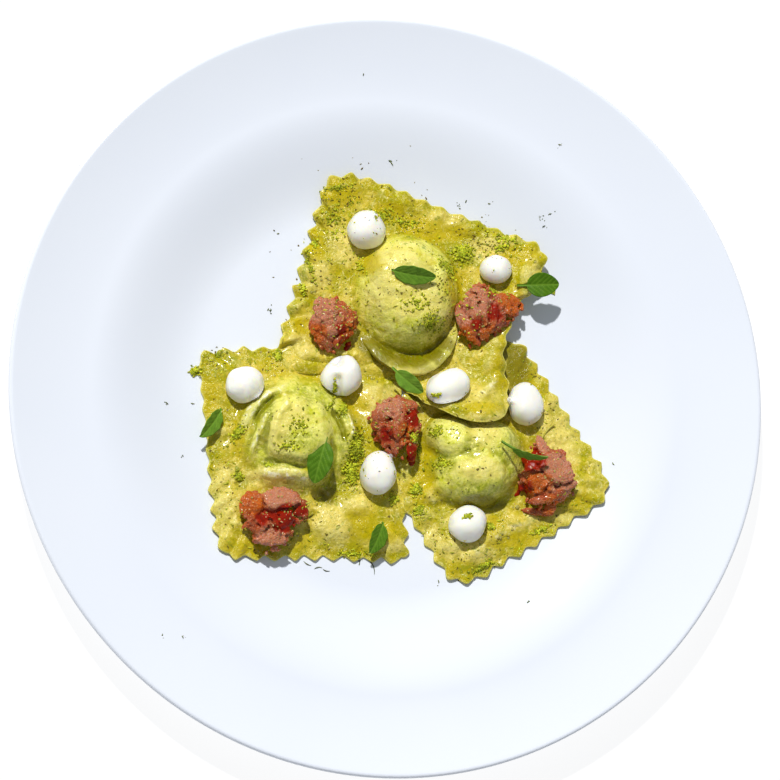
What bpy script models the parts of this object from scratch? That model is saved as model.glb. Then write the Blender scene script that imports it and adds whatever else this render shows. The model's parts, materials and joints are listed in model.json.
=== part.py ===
"""Three large ravioli laid over each other on a white coupe plate, with dots of cream,
spoonfuls of tartare and small herb leaves.

The plate is turned. Each raviolo is a limp filled sheet that is let down on what lies below
it, and the toppings are laid on the pasta in turn, each with a bottom that follows it.
+X is the plate's right, +Y its far side and +Z up. The origin is under the plate's centre.
"""

import math
import random
from collections import namedtuple

import bmesh
import bpy
import numpy as np
from mathutils import Matrix, Vector, noise
from mathutils.bvhtree import BVHTree

MM = 0.001

# The plate: a level floor, a soft slope and a broad rim, on a foot ring.
PLATE_RADIUS = 140 * MM
PLATE_WALL = 4 * MM
PLATE_SIDES = 60
FLOOR_RADIUS = 70 * MM
FLOOR_TOP = 6 * MM
SLOPE_END = 110 * MM
SLOPE_RISE = 8 * MM
RIM_RISE = 4 * MM
RIM_CURVE = 1.5
RIM_ROUND = 1.6 * MM
FOOT_RADIUS = 80 * MM
FOOT_WIDTH = 5 * MM
FOOT_BEVEL = 0.5 * MM
FOOT_DRAFT = 1 * MM
FOOT_SHOULDER = 0.4
SLOPE_POINTS = 4
RIM_POINTS = 2

# The rounded rim's points: how far in and how far down, in roundings.
RIM_ARC = ((0.4, 0.3), (0, 1), (0.5, 2.2))

# The pasta: two thin sheets pressed together, cut with a fluted wheel.
SHEET = 2.2 * MM
TOOTH_PITCH = 7.2 * MM
TOOTH_DEPTH = 2.0 * MM
TOOTH_UNEVEN = 0.14
RIPPLE = 0.7 * MM
RIPPLE_LENGTH = 24 * MM
RIPPLE_ROOM = 20 * MM
CORNER_POINTS = 7

# How it all lies: the gap between two pieces that touch, and how limp the pasta is.
GAP = 0.4 * MM
GRID = 2 * MM
REACH = 6 * MM
SAG = 0.05 * MM
DRAPE_STEPS = 500
SKY = 200 * MM
DOWN = Vector((0, 0, -1))

# The filled mound's rings, as shares of its radius, and the sheet's, as shares of its width.
MOUND_RINGS = (0.28, 0.5, 0.62, 0.74, 0.86, 0.95, 1.0)
SHEET_RINGS = (0.45, 0.86)
UNDER_RINGS = (0.5, 1.0)

# The rolled lip beside a mound: its height at shares of the ring's radius, groove to outer foot,
# and the angle over which it fades out. BLEND says how sharply the domes of a filling meet.
LIP_SHARES = (0.62, 0.74, 0.95, 1.0)
LIP_HEIGHTS = (0.1, 0.95, 1.0, 0.0)
LIP_FADE = 40
BLEND = 5

Dome = namedtuple("Dome", "x y rx ry height flatness", defaults=(2,))
Curl = namedtuple("Curl", "x y radius height")
Raviolo = namedtuple("Raviolo", "name corners ring domes lip lip_towards lip_spread curls seed")
Dot = namedtuple("Dot", "x y long wide turn height peak")
Heap = namedtuple("Heap", "x y long wide turn height lobes")
Leaf = namedtuple("Leaf", "x y long wide turn roll pitch stalk")

# Corners are (x, y, rounding), in millimetres, against the clock. The lowest piece comes first.
RAVIOLI = (
    Raviolo(
        "raviolo_right",
        (
            (51, 24, 5), (82.5, -27, 3), (82, -36, 4), (31.5, -67, 5), (23, -65.5, 6), (12.5, -47, 12),
            (-13, -10, 6),
        ),
        Dome(34.4, -21.7, 17.5, 17, 0),
        (
            Dome(34.4, -21.7, 17, 16.6, 8.5),
            Dome(23.7, -16.5, 8.5, 8.5, 11.5),
            Dome(35.5, -13, 10, 8.5, 11.5),
            Dome(33.5, -27.5, 14, 11, 13.5),
            Dome(19, -35, 4, 4, 3.5),
            Dome(16.5, -43, 3.5, 3.5, 2.5),
        ),
        0, 0, 1,
        (Curl(84, -32, 16, 2.0), Curl(28, -66, 14, 1.5)),
        11,
    ),
    Raviolo(
        "raviolo_left",
        (
            (6.5, 19, 6), (-52, 18, 20), (-68, 16, 3), (-65.2, -20, 30), (-62.8, -52, 8),
            (-59.5, -59, 3), (-30, -58, 30), (8, -59, 3), (6.3, -36, 30),
        ),
        Dome(-31.2, -12.2, 20.8, 20.0, 0),
        (
            Dome(-31.2, -12.2, 20.4, 19.6, 6.0),
            Dome(-31.0, -12.4, 16.2, 13.0, 12.5, 2.6),
        ),
        0, 0, 1,
        (Curl(-66, 14, 14, 2.5), Curl(-61, -57, 14, 2.0), Curl(-8, -44, 9, 1.5)),
        23,
    ),
    Raviolo(
        "raviolo_top",
        (
            (-20, 81.5, 4), (-8, 83, 16), (60, 57, 4), (60.5, 49, 5), (47, 30, 24), (43, 16, 16),
            (46.5, 1, 10), (42, -9.5, 11), (27, -9.5, 9), (16, -2.5, 8), (2, 8.5, 8), (-37.5, 9, 5),
            (-39.5, 17, 8), (-31, 42, 30), (-25.5, 62, 20),
        ),
        Dome(9.5, 34.4, 20.4, 26.4, 0),
        (Dome(9.7, 39.6, 19.6, 21.2, 14.5),),
        4.8, 265, 80,
        (Curl(55, 34, 20, 5.5), Curl(62, 54, 16, 2.5), Curl(-21, 83, 14, 1.5)),
        37,
    ),
)

# Toppings: places, lengths and heights in millimetres, turns in degrees.
CREAM = (
    Dot(-6.4, 61.8, 14.6, 14.0, 60, 10.0, 0),
    Dot(42.0, 48.0, 11.6, 11.2, 0, 8.2, 0),
    Dot(-52.2, 4.2, 14.0, 13.6, 20, 9.0, 0),
    Dot(-16.4, 7.6, 16.0, 14.6, 80, 9.4, 0),
    Dot(22.4, 4.2, 16.6, 12.6, 22, 8.6, 0),
    Dot(53.0, -0.2, 15.4, 13.4, 105, 9.0, 3.0),
    Dot(-3.4, -28.2, 16.6, 12.8, 80, 9.0, 0),
    Dot(29.8, -46.0, 14.0, 13.2, 10, 9.4, 0),
)
TARTARE = (
    Heap(-18.8, 27.8, 20.5, 17.0, 115, 10.5, ((20, 1.5), (250, 1.0))),
    Heap(36.6, 30.6, 19.0, 18.0, 70, 9.5, ((15, 7.5), (85, 2.5), (250, 2.5))),
    Heap(3.2, -9.2, 20.5, 18.5, 60, 11.5, ((285, 6.0), (150, 2.5))),
    Heap(-42.8, -44.2, 25.5, 20.0, 12, 11.5, ((270, 5.0), (20, 1.0))),
    Heap(59.4, -28.4, 23.0, 21.0, 130, 11.0, ((100, 2.5), (330, 2.0))),
)
LEAVES = (
    Leaf(9.0, 43.8, 15.6, 7.6, -8, 38, 2, 1.0),
    Leaf(58.6, 42.2, 12.0, 9.0, 2, 10, 4, 3.5),
    Leaf(-65.0, -10.6, 13.0, 7.0, 232, -35, 8, 1.0),
    Leaf(-26.4, -25.6, 15.6, 9.2, 256, 12, -4, 2.0),
    Leaf(6.0, 3.6, 12.6, 6.6, -36, 32, -12, 2.0),
    Leaf(-4.4, -52.0, 11.8, 7.2, 245, -25, 2, 1.0),
    Leaf(53.4, -18.6, 13.6, 6.0, -14, 78, 0, 4.5),
)

CREAM_SEGMENTS = 14
CREAM_RINGS = 7
CREAM_HEM = 0.3
CREAM_PEAK_FROM = 0.4
SEAT_REACH = 2.4 * MM
LEAST_CROWN = 0.25
HEAP_DIVISIONS = 3
HEAP_LUMP = 5.5 * MM
HEAP_HEM = 0.25
HEAP_UNEVEN = 0.3
HEAP_APART = 7
LOBE_SPREAD = 28
LEAF_STATIONS = 8
LEAF_THICKNESS = 0.6 * MM
LEAF_FOLD = 0.22
LEAF_ARCH = 0.12
LEAF_SKEW = 0.8
LEAF_FULLNESS = 0.75
LEAF_CLEARANCE = 0.7 * MM
STALK_WIDTH = 0.9 * MM


def ease(share):
    share = min(max(share, 0.0), 1.0)
    return share * share * (3 - 2 * share)


def new_material(name, colour, roughness):
    material = bpy.data.materials.new(name)
    material.use_nodes = True
    shader = material.node_tree.nodes["Principled BSDF"]
    shader.inputs["Base Color"].default_value = (*colour, 1)
    shader.inputs["Roughness"].default_value = roughness
    shader.inputs["Metallic"].default_value = 0
    return material


def new_object(name, shape, material, collection):
    """An object from a bmesh, turned the right way out if it is inside out."""
    mesh = bpy.data.meshes.new(name)
    if shape.calc_volume(signed=True) < 0:
        bmesh.ops.reverse_faces(shape, faces=shape.faces)
    shape.to_mesh(mesh)
    shape.free()
    mesh.materials.append(material)
    mesh.shade_smooth()
    obj = bpy.data.objects.new(name, mesh)
    collection.objects.link(obj)
    return obj


class Skyline:
    """The upper surface of everything that has been laid down so far."""

    def __init__(self):
        self.trees = []

    def add(self, obj):
        graph = bpy.context.evaluated_depsgraph_get()
        shape = bmesh.new()
        shape.from_object(obj, graph)
        shape.transform(obj.matrix_world)
        self.trees.append(BVHTree.FromBMesh(shape))
        shape.free()

    def height(self, x, y):
        start = Vector((x, y, SKY))
        hits = [tree.ray_cast(start, DOWN)[0] for tree in self.trees]
        return max((hit.z for hit in hits if hit), default=0.0)

    def highest_near(self, x, y, reach):
        """The highest point of the skyline within a reach of a place."""
        found = self.height(x, y)
        for step in range(24):
            turn = math.tau * step / 8
            away = reach * (1 + step // 8) / 3
            found = max(found, self.height(x + away * math.cos(turn), y + away * math.sin(turn)))
        return found


# Plate


def plate_top(radius):
    """The height of the plate's upper surface at a distance from its centre."""
    slope = ease((radius - FLOOR_RADIUS) / (SLOPE_END - FLOOR_RADIUS))
    rim = max(0.0, (radius - SLOPE_END) / (PLATE_RADIUS - SLOPE_END))
    return FLOOR_TOP + SLOPE_RISE * slope + RIM_RISE * rim**RIM_CURVE


def plate_profile():
    """Half of the plate's section, from the middle of its floor round the rim to its underside."""
    slope_step = (SLOPE_END - FLOOR_RADIUS) / SLOPE_POINTS
    rim_start = SLOPE_END + slope_step
    rim_step = (PLATE_RADIUS - RIM_ROUND - rim_start) / RIM_POINTS
    radii = [FLOOR_RADIUS + slope_step * i for i in range(SLOPE_POINTS + 1)]
    radii += [rim_start + rim_step * i for i in range(RIM_POINTS + 1)]
    top = [(radius, plate_top(radius)) for radius in radii]
    crest = plate_top(PLATE_RADIUS)
    rim = [(PLATE_RADIUS - inward * RIM_ROUND, crest - down * RIM_ROUND) for inward, down in RIM_ARC]
    under_radii = [radius for radius in reversed(radii[2:-1:2])]
    under = [(radius, plate_top(radius) - PLATE_WALL) for radius in under_radii]
    foot_inside = FOOT_RADIUS - FOOT_WIDTH
    recess = FLOOR_TOP - PLATE_WALL
    foot = [(FOOT_RADIUS, FOOT_SHOULDER * recess), (FOOT_RADIUS - FOOT_BEVEL, 0)]
    foot += [(foot_inside, 0), (foot_inside - FOOT_DRAFT, recess)]
    return [(0, FLOOR_TOP)] + top + rim + under + foot + [(0, recess)]


def make_plate(collection):
    mesh = bpy.data.meshes.new("plate")
    points = [(x, 0, z) for x, z in plate_profile()]
    mesh.from_pydata(points, [(i, i + 1) for i in range(len(points) - 1)], [])
    mesh.materials.append(new_material("porcelain", (0.86, 0.89, 0.94), 0.18))
    plate = bpy.data.objects.new("plate", mesh)
    collection.objects.link(plate)
    screw = plate.modifiers.new("turned", "SCREW")
    screw.steps = PLATE_SIDES
    screw.render_steps = PLATE_SIDES
    screw.use_merge_vertices = True
    screw.merge_threshold = 0.00005
    screw.use_smooth_shade = True
    return plate


# Pasta


def rounded(corners):
    """A closed outline through corners (x, y, rounding), in metres, with each corner rounded off."""
    points = []
    for i, (x, y, rounding) in enumerate(corners):
        here = Vector((x, y)) * MM
        before = Vector(corners[i - 1][:2]) * MM - here
        after = Vector(corners[(i + 1) % len(corners)][:2]) * MM - here
        start = here + before.normalized() * min(rounding * MM, before.length / 2)
        end = here + after.normalized() * min(rounding * MM, after.length / 2)
        for step in range(CORNER_POINTS):
            share = step / (CORNER_POINTS - 1)
            points.append((1 - share) ** 2 * start + 2 * share * (1 - share) * here + share**2 * end)
    return points


def along(outline, count):
    """Points at equal steps along a closed outline, each with its outward direction."""
    loop = outline + outline[:1]
    lengths = np.cumsum([0.0] + [(b - a).length for a, b in zip(loop, loop[1:])])
    wanted = np.arange(count) * lengths[-1] / count
    xs = np.interp(wanted, lengths, [p.x for p in loop])
    ys = np.interp(wanted, lengths, [p.y for p in loop])
    points = [Vector(pair) for pair in zip(xs, ys)]
    turned = []
    for i, point in enumerate(points):
        ahead = (points[(i + 1) % count] - points[i - 1]).normalized()
        turned.append((point, Vector((ahead.y, -ahead.x))))
    return turned


def fluted(outline, seed):
    """The outline cut into teeth: notch, tip, notch, tip and so on."""
    dice = random.Random(seed)
    loop = outline + outline[:1]
    length = sum((b - a).length for a, b in zip(loop, loop[1:]))
    count = 2 * round(length / TOOTH_PITCH)
    edge = []
    for i, (point, outward) in enumerate(along(outline, count)):
        depth = TOOTH_DEPTH * (i % 2 - 0.5) * (1 + dice.uniform(-1, 1) * TOOTH_UNEVEN * 2)
        slip = TOOTH_PITCH * dice.uniform(-1, 1) * TOOTH_UNEVEN / 2
        edge.append(point + outward * depth + Vector((-outward.y, outward.x)) * slip)
    return edge


def inside(xs, ys, outline):
    """Which of the points lie in a closed outline."""
    found = np.zeros(xs.shape, bool)
    for a, b in zip(outline, outline[1:] + outline[:1]):
        spans = (a.y > ys) != (b.y > ys)
        run = (b.y - a.y) or 1e-12
        found ^= spans & (xs < a.x + (b.x - a.x) * (ys - a.y) / run)
    return found


def widened(field, cells):
    """Each value replaced by the highest within so many cells of it."""
    found = field.copy()
    for i in range(-cells, cells + 1):
        for j in range(-cells, cells + 1):
            if i * i + j * j <= cells * cells:
                found = np.maximum(found, np.roll(field, (i, j), (0, 1)))
    return found


class Drape:
    """A limp sheet let down on the skyline, as the heights of its underside on a square grid."""

    def __init__(self, skyline, outline):
        margin = 4 * GRID + REACH
        self.low = Vector((min(p.x for p in outline) - margin, min(p.y for p in outline) - margin))
        high = Vector((max(p.x for p in outline) + margin, max(p.y for p in outline) + margin))
        columns = math.ceil((high.x - self.low.x) / GRID)
        rows = math.ceil((high.y - self.low.y) / GRID)
        xs, ys = np.meshgrid(self.low.x + GRID * np.arange(columns), self.low.y + GRID * np.arange(rows))
        ground = np.vectorize(skyline.height)(xs, ys)
        ground = widened(ground, round(REACH / GRID)) + GAP
        sheet = widened(inside(xs, ys, outline).astype(float), round(REACH / GRID))
        ground = np.where(sheet > 0, ground, 0.0)
        self.heights = np.full(ground.shape, ground.max())
        shifts = ((1, 0), (-1, 0), (0, 1), (0, -1))
        weight = sum(np.roll(sheet, shift, (0, 1)) for shift in shifts)
        for _ in range(DRAPE_STEPS):
            total = sum(np.roll(self.heights * sheet, shift, (0, 1)) for shift in shifts)
            hung = np.where(weight > 0, total / np.maximum(weight, 1), self.heights)
            self.heights = np.maximum(ground, hung - SAG)

    def at(self, x, y):
        column = (x - self.low.x) / GRID
        row = (y - self.low.y) / GRID
        i = int(row)
        j = int(column)
        v = row - i
        u = column - j
        upper = self.heights[i, j] * (1 - u) + self.heights[i, j + 1] * u
        lower = self.heights[i + 1, j] * (1 - u) + self.heights[i + 1, j + 1] * u
        return upper * (1 - v) + lower * v


def dome_height(dome, x, y):
    rho = math.hypot((x - dome.x * MM) / (dome.rx * MM), (y - dome.y * MM) / (dome.ry * MM))
    return dome.height * MM * math.sqrt(max(0.0, 1 - rho**dome.flatness))


def filling(raviolo, x, y):
    """How far the filling lifts the upper sheet: its domes run into each other."""
    heights = [dome_height(dome, x, y) for dome in raviolo.domes]
    return sum(height**BLEND for height in heights) ** (1 / BLEND)


def lip_share(raviolo, turn):
    """How much of the pressed lip shows in a direction from the mound, 0 to 1."""
    apart = abs((math.degrees(turn) - raviolo.lip_towards + 180) % 360 - 180)
    return ease((raviolo.lip_spread - apart) / LIP_FADE + 0.5)


def curled(raviolo, x, y):
    """How far the sheet lifts off, at its curled corners and along its rippled edge."""
    lift = 0.0
    for curl in raviolo.curls:
        apart = math.hypot(x - curl.x * MM, y - curl.y * MM) / (curl.radius * MM)
        lift += curl.height * MM * math.exp(-apart * apart)
    ring = raviolo.ring
    away = math.hypot(x - ring.x * MM, y - ring.y * MM) - ring.rx * MM
    wave = math.sin((x + raviolo.seed * MM) * math.tau / RIPPLE_LENGTH)
    wave *= math.cos((y - raviolo.seed * MM) * math.tau / RIPPLE_LENGTH)
    return lift + RIPPLE * (1 + wave) / 2 * ease(away / RIPPLE_ROOM)


def make_raviolo(raviolo, skyline, material, collection):
    outline = rounded(raviolo.corners)
    edge = fluted(outline, raviolo.seed)
    drape = Drape(skyline, outline)
    ring = raviolo.ring
    centre = Vector((ring.x, ring.y)) * MM
    spokes = len(edge) // 2
    shape = bmesh.new()

    def bottom(point):
        return drape.at(point.x, point.y) + curled(raviolo, point.x, point.y)

    def top(point, lip=0.0):
        return bottom(point) + SHEET + max(filling(raviolo, point.x, point.y), lip)

    def ring_point(spoke, share):
        """A point at a share of the mound's radius, towards a notch of the edge."""
        way = edge[2 * spoke] - centre
        turn = math.atan2(way.y, way.x)
        reach = 1 / math.hypot(math.cos(turn) / ring.rx, math.sin(turn) / ring.ry)
        return centre + way.normalized() * reach * MM * share, turn

    def sheet_point(spoke, share):
        foot, _ = ring_point(spoke, MOUND_RINGS[-1])
        return foot.lerp(edge[2 * spoke], share)

    def lip_height(turn, share):
        """The rolled lip: a groove inside it, its crest, and its sharp outer foot."""
        height = float(np.interp(share, LIP_SHARES, LIP_HEIGHTS, left=0.0))
        return raviolo.lip * MM * height * lip_share(raviolo, turn)

    def new_ring(points, heights):
        return [shape.verts.new((point.x, point.y, z)) for point, z in zip(points, heights)]

    def join(inner, outer):
        for i in range(len(inner)):
            j = (i + 1) % len(inner)
            shape.faces.new((inner[i], outer[i], outer[j]))
            shape.faces.new((inner[i], outer[j], inner[j]))

    def close_middle(loop, z):
        middle = shape.verts.new((centre.x, centre.y, z))
        for i in range(len(loop)):
            shape.faces.new((middle, loop[i], loop[(i + 1) % len(loop)]))

    def join_teeth(inner, outer):
        for i in range(spokes):
            j = (i + 1) % spokes
            notch = outer[2 * i]
            tip = outer[2 * i + 1]
            after = outer[(2 * i + 2) % len(outer)]
            shape.faces.new((inner[i], notch, tip))
            shape.faces.new((inner[i], tip, inner[j]))
            shape.faces.new((inner[j], tip, after))

    upper = []
    for share in MOUND_RINGS:
        found = [ring_point(spoke, share) for spoke in range(spokes)]
        heights = [top(point, lip_height(turn, share)) for point, turn in found]
        upper.append(new_ring([point for point, _ in found], heights))
    for share in SHEET_RINGS:
        points = [sheet_point(spoke, share) for spoke in range(spokes)]
        upper.append(new_ring(points, [top(point) for point in points]))
    lower = []
    for share in UNDER_RINGS:
        points = [ring_point(spoke, share)[0] for spoke in range(spokes)]
        lower.append(new_ring(points, [bottom(point) for point in points]))
    for share in SHEET_RINGS:
        points = [sheet_point(spoke, share) for spoke in range(spokes)]
        lower.append(new_ring(points, [bottom(point) for point in points]))
    edge_top = new_ring(edge, [top(point) for point in edge])
    edge_bottom = new_ring(edge, [bottom(point) for point in edge])

    for rings, outer, middle in ((upper, edge_top, top(centre)), (lower, edge_bottom, bottom(centre))):
        close_middle(rings[0], middle)
        for inner, following in zip(rings, rings[1:]):
            join(inner, following)
        join_teeth(rings[-1], outer)
    join(edge_top, edge_bottom)
    bmesh.ops.recalc_face_normals(shape, faces=shape.faces)
    return new_object(raviolo.name, shape, material, collection)


# Toppings


def seated(centre, flat, rise, height, hem, skyline):
    """The height of a point of a soft round piece, whose underside follows what lies below it.

    rise goes from 0 at the bottom to 1 at the crown, with the widest line, the hem, halfway.
    """
    floor = skyline.highest_near(centre.x + flat.x, centre.y + flat.y, SEAT_REACH) + GAP
    if rise < 0.5:
        return floor + hem * (2 * rise) ** 2
    side = floor + hem
    crown = max(skyline.height(centre.x, centre.y) + height, side + LEAST_CROWN * height)
    return side + (crown - side) * (2 * rise - 1)


def make_cream(number, dot, skyline, material, collection):
    """A squeezed dot: round above, and widest low down where it sits."""
    shape = bmesh.new()
    bmesh.ops.create_uvsphere(shape, u_segments=CREAM_SEGMENTS, v_segments=CREAM_RINGS, radius=0.5)
    centre = Vector((dot.x, dot.y)) * MM
    turn = Matrix.Rotation(math.radians(dot.turn), 2)
    height = dot.height * MM
    for vertex in shape.verts:
        rise = vertex.co.z + 0.5
        along_dot = vertex.co.x * dot.long
        if vertex.co.x > CREAM_PEAK_FROM:
            along_dot += dot.peak * ease((vertex.co.x - CREAM_PEAK_FROM) / (0.5 - CREAM_PEAK_FROM))
        flat = turn @ Vector((along_dot, vertex.co.y * dot.wide)) * MM
        z = seated(centre, flat, rise, height, CREAM_HEM * height, skyline)
        vertex.co = (centre.x + flat.x, centre.y + flat.y, z)
    return new_object(f"cream_{number}", shape, material, collection)


def make_heap(number, heap, skyline, material, collection):
    """A spoonful of finely cut tartare out to its uneven outline."""
    shape = bmesh.new()
    bmesh.ops.create_icosphere(shape, subdivisions=HEAP_DIVISIONS, radius=0.5)
    centre = Vector((heap.x, heap.y)) * MM
    turn = Matrix.Rotation(math.radians(heap.turn), 2)
    height = heap.height * MM
    for vertex in shape.verts:
        rise = vertex.co.z + 0.5
        flat = turn @ Vector((vertex.co.x * heap.long, vertex.co.y * heap.wide)) * MM
        away = math.degrees(math.atan2(flat.y, flat.x))
        middle = flat.length / (0.5 * heap.long * MM)
        for towards, reach in heap.lobes:
            apart = (away - towards + 180) % 360 - 180
            flat += flat.normalized() * reach * MM * math.exp(-((apart / LOBE_SPREAD) ** 2)) * middle**2
        place = Vector((flat.x, flat.y, rise * height)) / HEAP_LUMP
        bump = noise.noise(place + Vector((0, 0, HEAP_APART * number)))
        flat *= 1 + bump * HEAP_UNEVEN
        z = seated(centre, flat, rise, height, HEAP_HEM * height, skyline)
        if rise > 0.5:
            z += abs(bump) * HEAP_UNEVEN * height
        vertex.co = (centre.x + flat.x, centre.y + flat.y, z)
    return new_object(f"tartare_{number}", shape, material, collection)


def make_leaf(number, leaf, skyline, material, collection):
    """A thin ovate leaf, folded along its midrib, with a short stalk, laid on what is below it."""
    shape = bmesh.new()
    half = leaf.long * MM / 2
    stations = [(-half - leaf.stalk * MM, STALK_WIDTH / 2)]
    for step in range(LEAF_STATIONS):
        share = step / (LEAF_STATIONS - 1)
        width = max(0.0, math.sin(math.pi * share**LEAF_SKEW)) ** LEAF_FULLNESS * leaf.wide * MM / 2
        stations.append((-half + 2 * half * share, max(width, STALK_WIDTH / 2)))
    rows = []
    for x, width in stations:
        arch = LEAF_ARCH * half * (1 - (x / half) ** 2)
        side = arch + LEAF_FOLD * width
        points = ((x, width, side), (x, 0, arch), (x, -width, side))
        rows.append([shape.verts.new(point) for point in points])
    for near, far in zip(rows, rows[1:]):
        for i in range(2):
            shape.faces.new((near[i], near[i + 1], far[i + 1], far[i]))
    turn = Matrix.Rotation(math.radians(leaf.turn), 4, "Z")
    turn @= Matrix.Rotation(math.radians(-leaf.pitch), 4, "Y")
    turn @= Matrix.Rotation(math.radians(leaf.roll), 4, "X")
    obj = new_object(f"leaf_{number}", shape, material, collection)
    obj.rotation_euler = turn.to_euler()
    thick = obj.modifiers.new("blade", "SOLIDIFY")
    thick.thickness = LEAF_THICKNESS
    thick.offset = 1
    thick.use_even_offset = True
    obj.location = (leaf.x * MM, leaf.y * MM, SKY / 2)
    bpy.context.view_layer.update()
    room = SKY
    graph = bpy.context.evaluated_depsgraph_get()
    blade = obj.evaluated_get(graph)
    for vertex in blade.data.vertices:
        place = obj.matrix_world @ vertex.co
        room = min(room, place.z - skyline.highest_near(place.x, place.y, LEAF_CLEARANCE))
    obj.location.z -= room - GAP
    return obj


def main():
    for obj in list(bpy.data.objects):
        bpy.data.objects.remove(obj, do_unlink=True)
    scene = bpy.context.scene
    scene.unit_settings.system = "METRIC"
    scene.unit_settings.scale_length = 1.0
    collection = bpy.data.collections.new("ravioli")
    scene.collection.children.link(collection)

    skyline = Skyline()
    skyline.add(make_plate(collection))
    pasta = new_material("green pasta", (0.60, 0.58, 0.20), 0.35)
    for raviolo in RAVIOLI:
        skyline.add(make_raviolo(raviolo, skyline, pasta, collection))
    tartare = new_material("tartare", (0.55, 0.16, 0.13), 0.3)
    cream = new_material("cream", (0.92, 0.92, 0.90), 0.4)
    toppings = [make_heap(i + 1, heap, skyline, tartare, collection) for i, heap in enumerate(TARTARE)]
    toppings += [make_cream(i + 1, dot, skyline, cream, collection) for i, dot in enumerate(CREAM)]
    for topping in toppings:
        skyline.add(topping)
    herb = new_material("herb leaf", (0.07, 0.22, 0.04), 0.45)
    for i, leaf in enumerate(LEAVES):
        skyline.add(make_leaf(i + 1, leaf, skyline, herb, collection))


main()
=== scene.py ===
"""Three large ravioli on a white coupe plate, dressed with cream, tartare, leaves and zest.

The plate is turned and the pasta is lofted over the frame's own sizes, then everything is laid
on what is below it. Lengths are in millimetres until a mesh is made, which is in metres.
"""

import json
import random
from collections import namedtuple
from math import atan2, cos, degrees, exp, hypot, pi, radians, sin, sqrt, tau

import bmesh
import bpy
import numpy as np
from mathutils import Matrix, Vector
from mathutils.bvhtree import BVHTree

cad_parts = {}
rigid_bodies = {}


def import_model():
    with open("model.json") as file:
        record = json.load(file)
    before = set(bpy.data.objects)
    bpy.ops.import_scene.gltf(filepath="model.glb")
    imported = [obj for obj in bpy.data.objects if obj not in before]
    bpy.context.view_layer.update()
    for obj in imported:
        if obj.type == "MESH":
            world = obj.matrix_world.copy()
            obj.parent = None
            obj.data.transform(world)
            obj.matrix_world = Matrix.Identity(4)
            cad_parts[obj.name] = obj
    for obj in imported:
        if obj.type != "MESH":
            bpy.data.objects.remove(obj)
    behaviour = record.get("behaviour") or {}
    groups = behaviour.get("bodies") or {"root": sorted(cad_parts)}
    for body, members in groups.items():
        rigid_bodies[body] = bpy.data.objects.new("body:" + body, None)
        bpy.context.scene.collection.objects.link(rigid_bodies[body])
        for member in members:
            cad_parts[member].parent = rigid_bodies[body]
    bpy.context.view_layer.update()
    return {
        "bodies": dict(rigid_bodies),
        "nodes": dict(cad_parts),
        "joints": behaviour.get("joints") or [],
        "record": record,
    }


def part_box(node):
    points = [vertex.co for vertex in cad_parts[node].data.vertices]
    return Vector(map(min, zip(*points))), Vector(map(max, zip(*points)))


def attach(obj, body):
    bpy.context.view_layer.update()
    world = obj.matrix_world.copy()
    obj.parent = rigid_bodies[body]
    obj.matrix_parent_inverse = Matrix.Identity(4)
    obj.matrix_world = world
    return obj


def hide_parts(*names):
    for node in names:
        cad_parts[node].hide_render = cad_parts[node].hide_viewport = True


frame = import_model()

MM = 0.001

# ---- the object's own sizes

# The plate.
PLATE_RADIUS = 140
PLATE_WALL = 4
FLOOR_RADIUS = 70
FLOOR_TOP = 6
SLOPE_END = 110
SLOPE_RISE = 8
RIM_RISE = 4
RIM_CURVE = 1.5
RIM_ROUND = 1.6
FOOT_RADIUS = 80
FOOT_WIDTH = 5
PLATE_SIDES = 240

# The pasta.
SHEET = 2.2
TOOTH_PITCH = 7.2
TOOTH_DEPTH = 2.0
TOOTH_UNEVEN = 0.14
TEETH_GONE = 0.6
CRIMP = 0.32
CRIMP_REACH = 5.5
EDGE_THINNER = 1.3
EDGE_REACH = 4.5
RIPPLE = 0.5
RIPPLE_LENGTH = 24
RIPPLE_ROOM = 20
BLEND = 5
LIP_RISE = (0.72, 0.9)
LIP_FALL = (0.955, 1.0)
LIP_FADE = 36
MELT_REACH = 12
SETTLED = 1.3
MELTED = -0.4
FOOT_SPREAD = 1.12
SPOKES = 540
MOUND_RINGS = 52
SHEET_RINGS = 50
EDGE_RINGS = 7
UNDER_RINGS = 12
# Each layer of the skin's lumps: their size, how far they stand out and their octaves.
SKIN = ((9.0, 0.5, 1), (4.2, 0.32, 1), (2.2, 0.17, 2), (1.0, 0.05, 1))
EDGE_DROP = 0.45
EDGE_DROP_REACH = 1.1
LIP_OUT = (0.7, 0.955, 0.035)
LIP_IN = (1.1, 1.02, 0.03)
CUT_BULGE = 0.35
POOL_REACH = 1.6

# How it all lies.
GAP = 0.2
GRID = 2
REACH = 6
SAG = 0.05
DRAPE_STEPS = 500
SKY = 200

Dome = namedtuple("Dome", "x y rx ry height")
Raviolo = namedtuple(
    "Raviolo",
    "name corners ring domes full blend lip lip_towards lip_spread seed teeth settle curls bumps strokes "
    "plain stains",
)
Mark = namedtuple("Mark", "x y long wide turn height")
Dot = namedtuple("Dot", "x y long wide turn height marks")
Heap = namedtuple("Heap", "x y long wide turn height lobes patches flakes")
Flake = namedtuple("Flake", "x y long wide turn tip lift")
Leaf = namedtuple("Leaf", "x y long wide turn roll pitch stalk drop tone")
Pile = namedtuple("Pile", "x y long wide turn height count")

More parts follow.
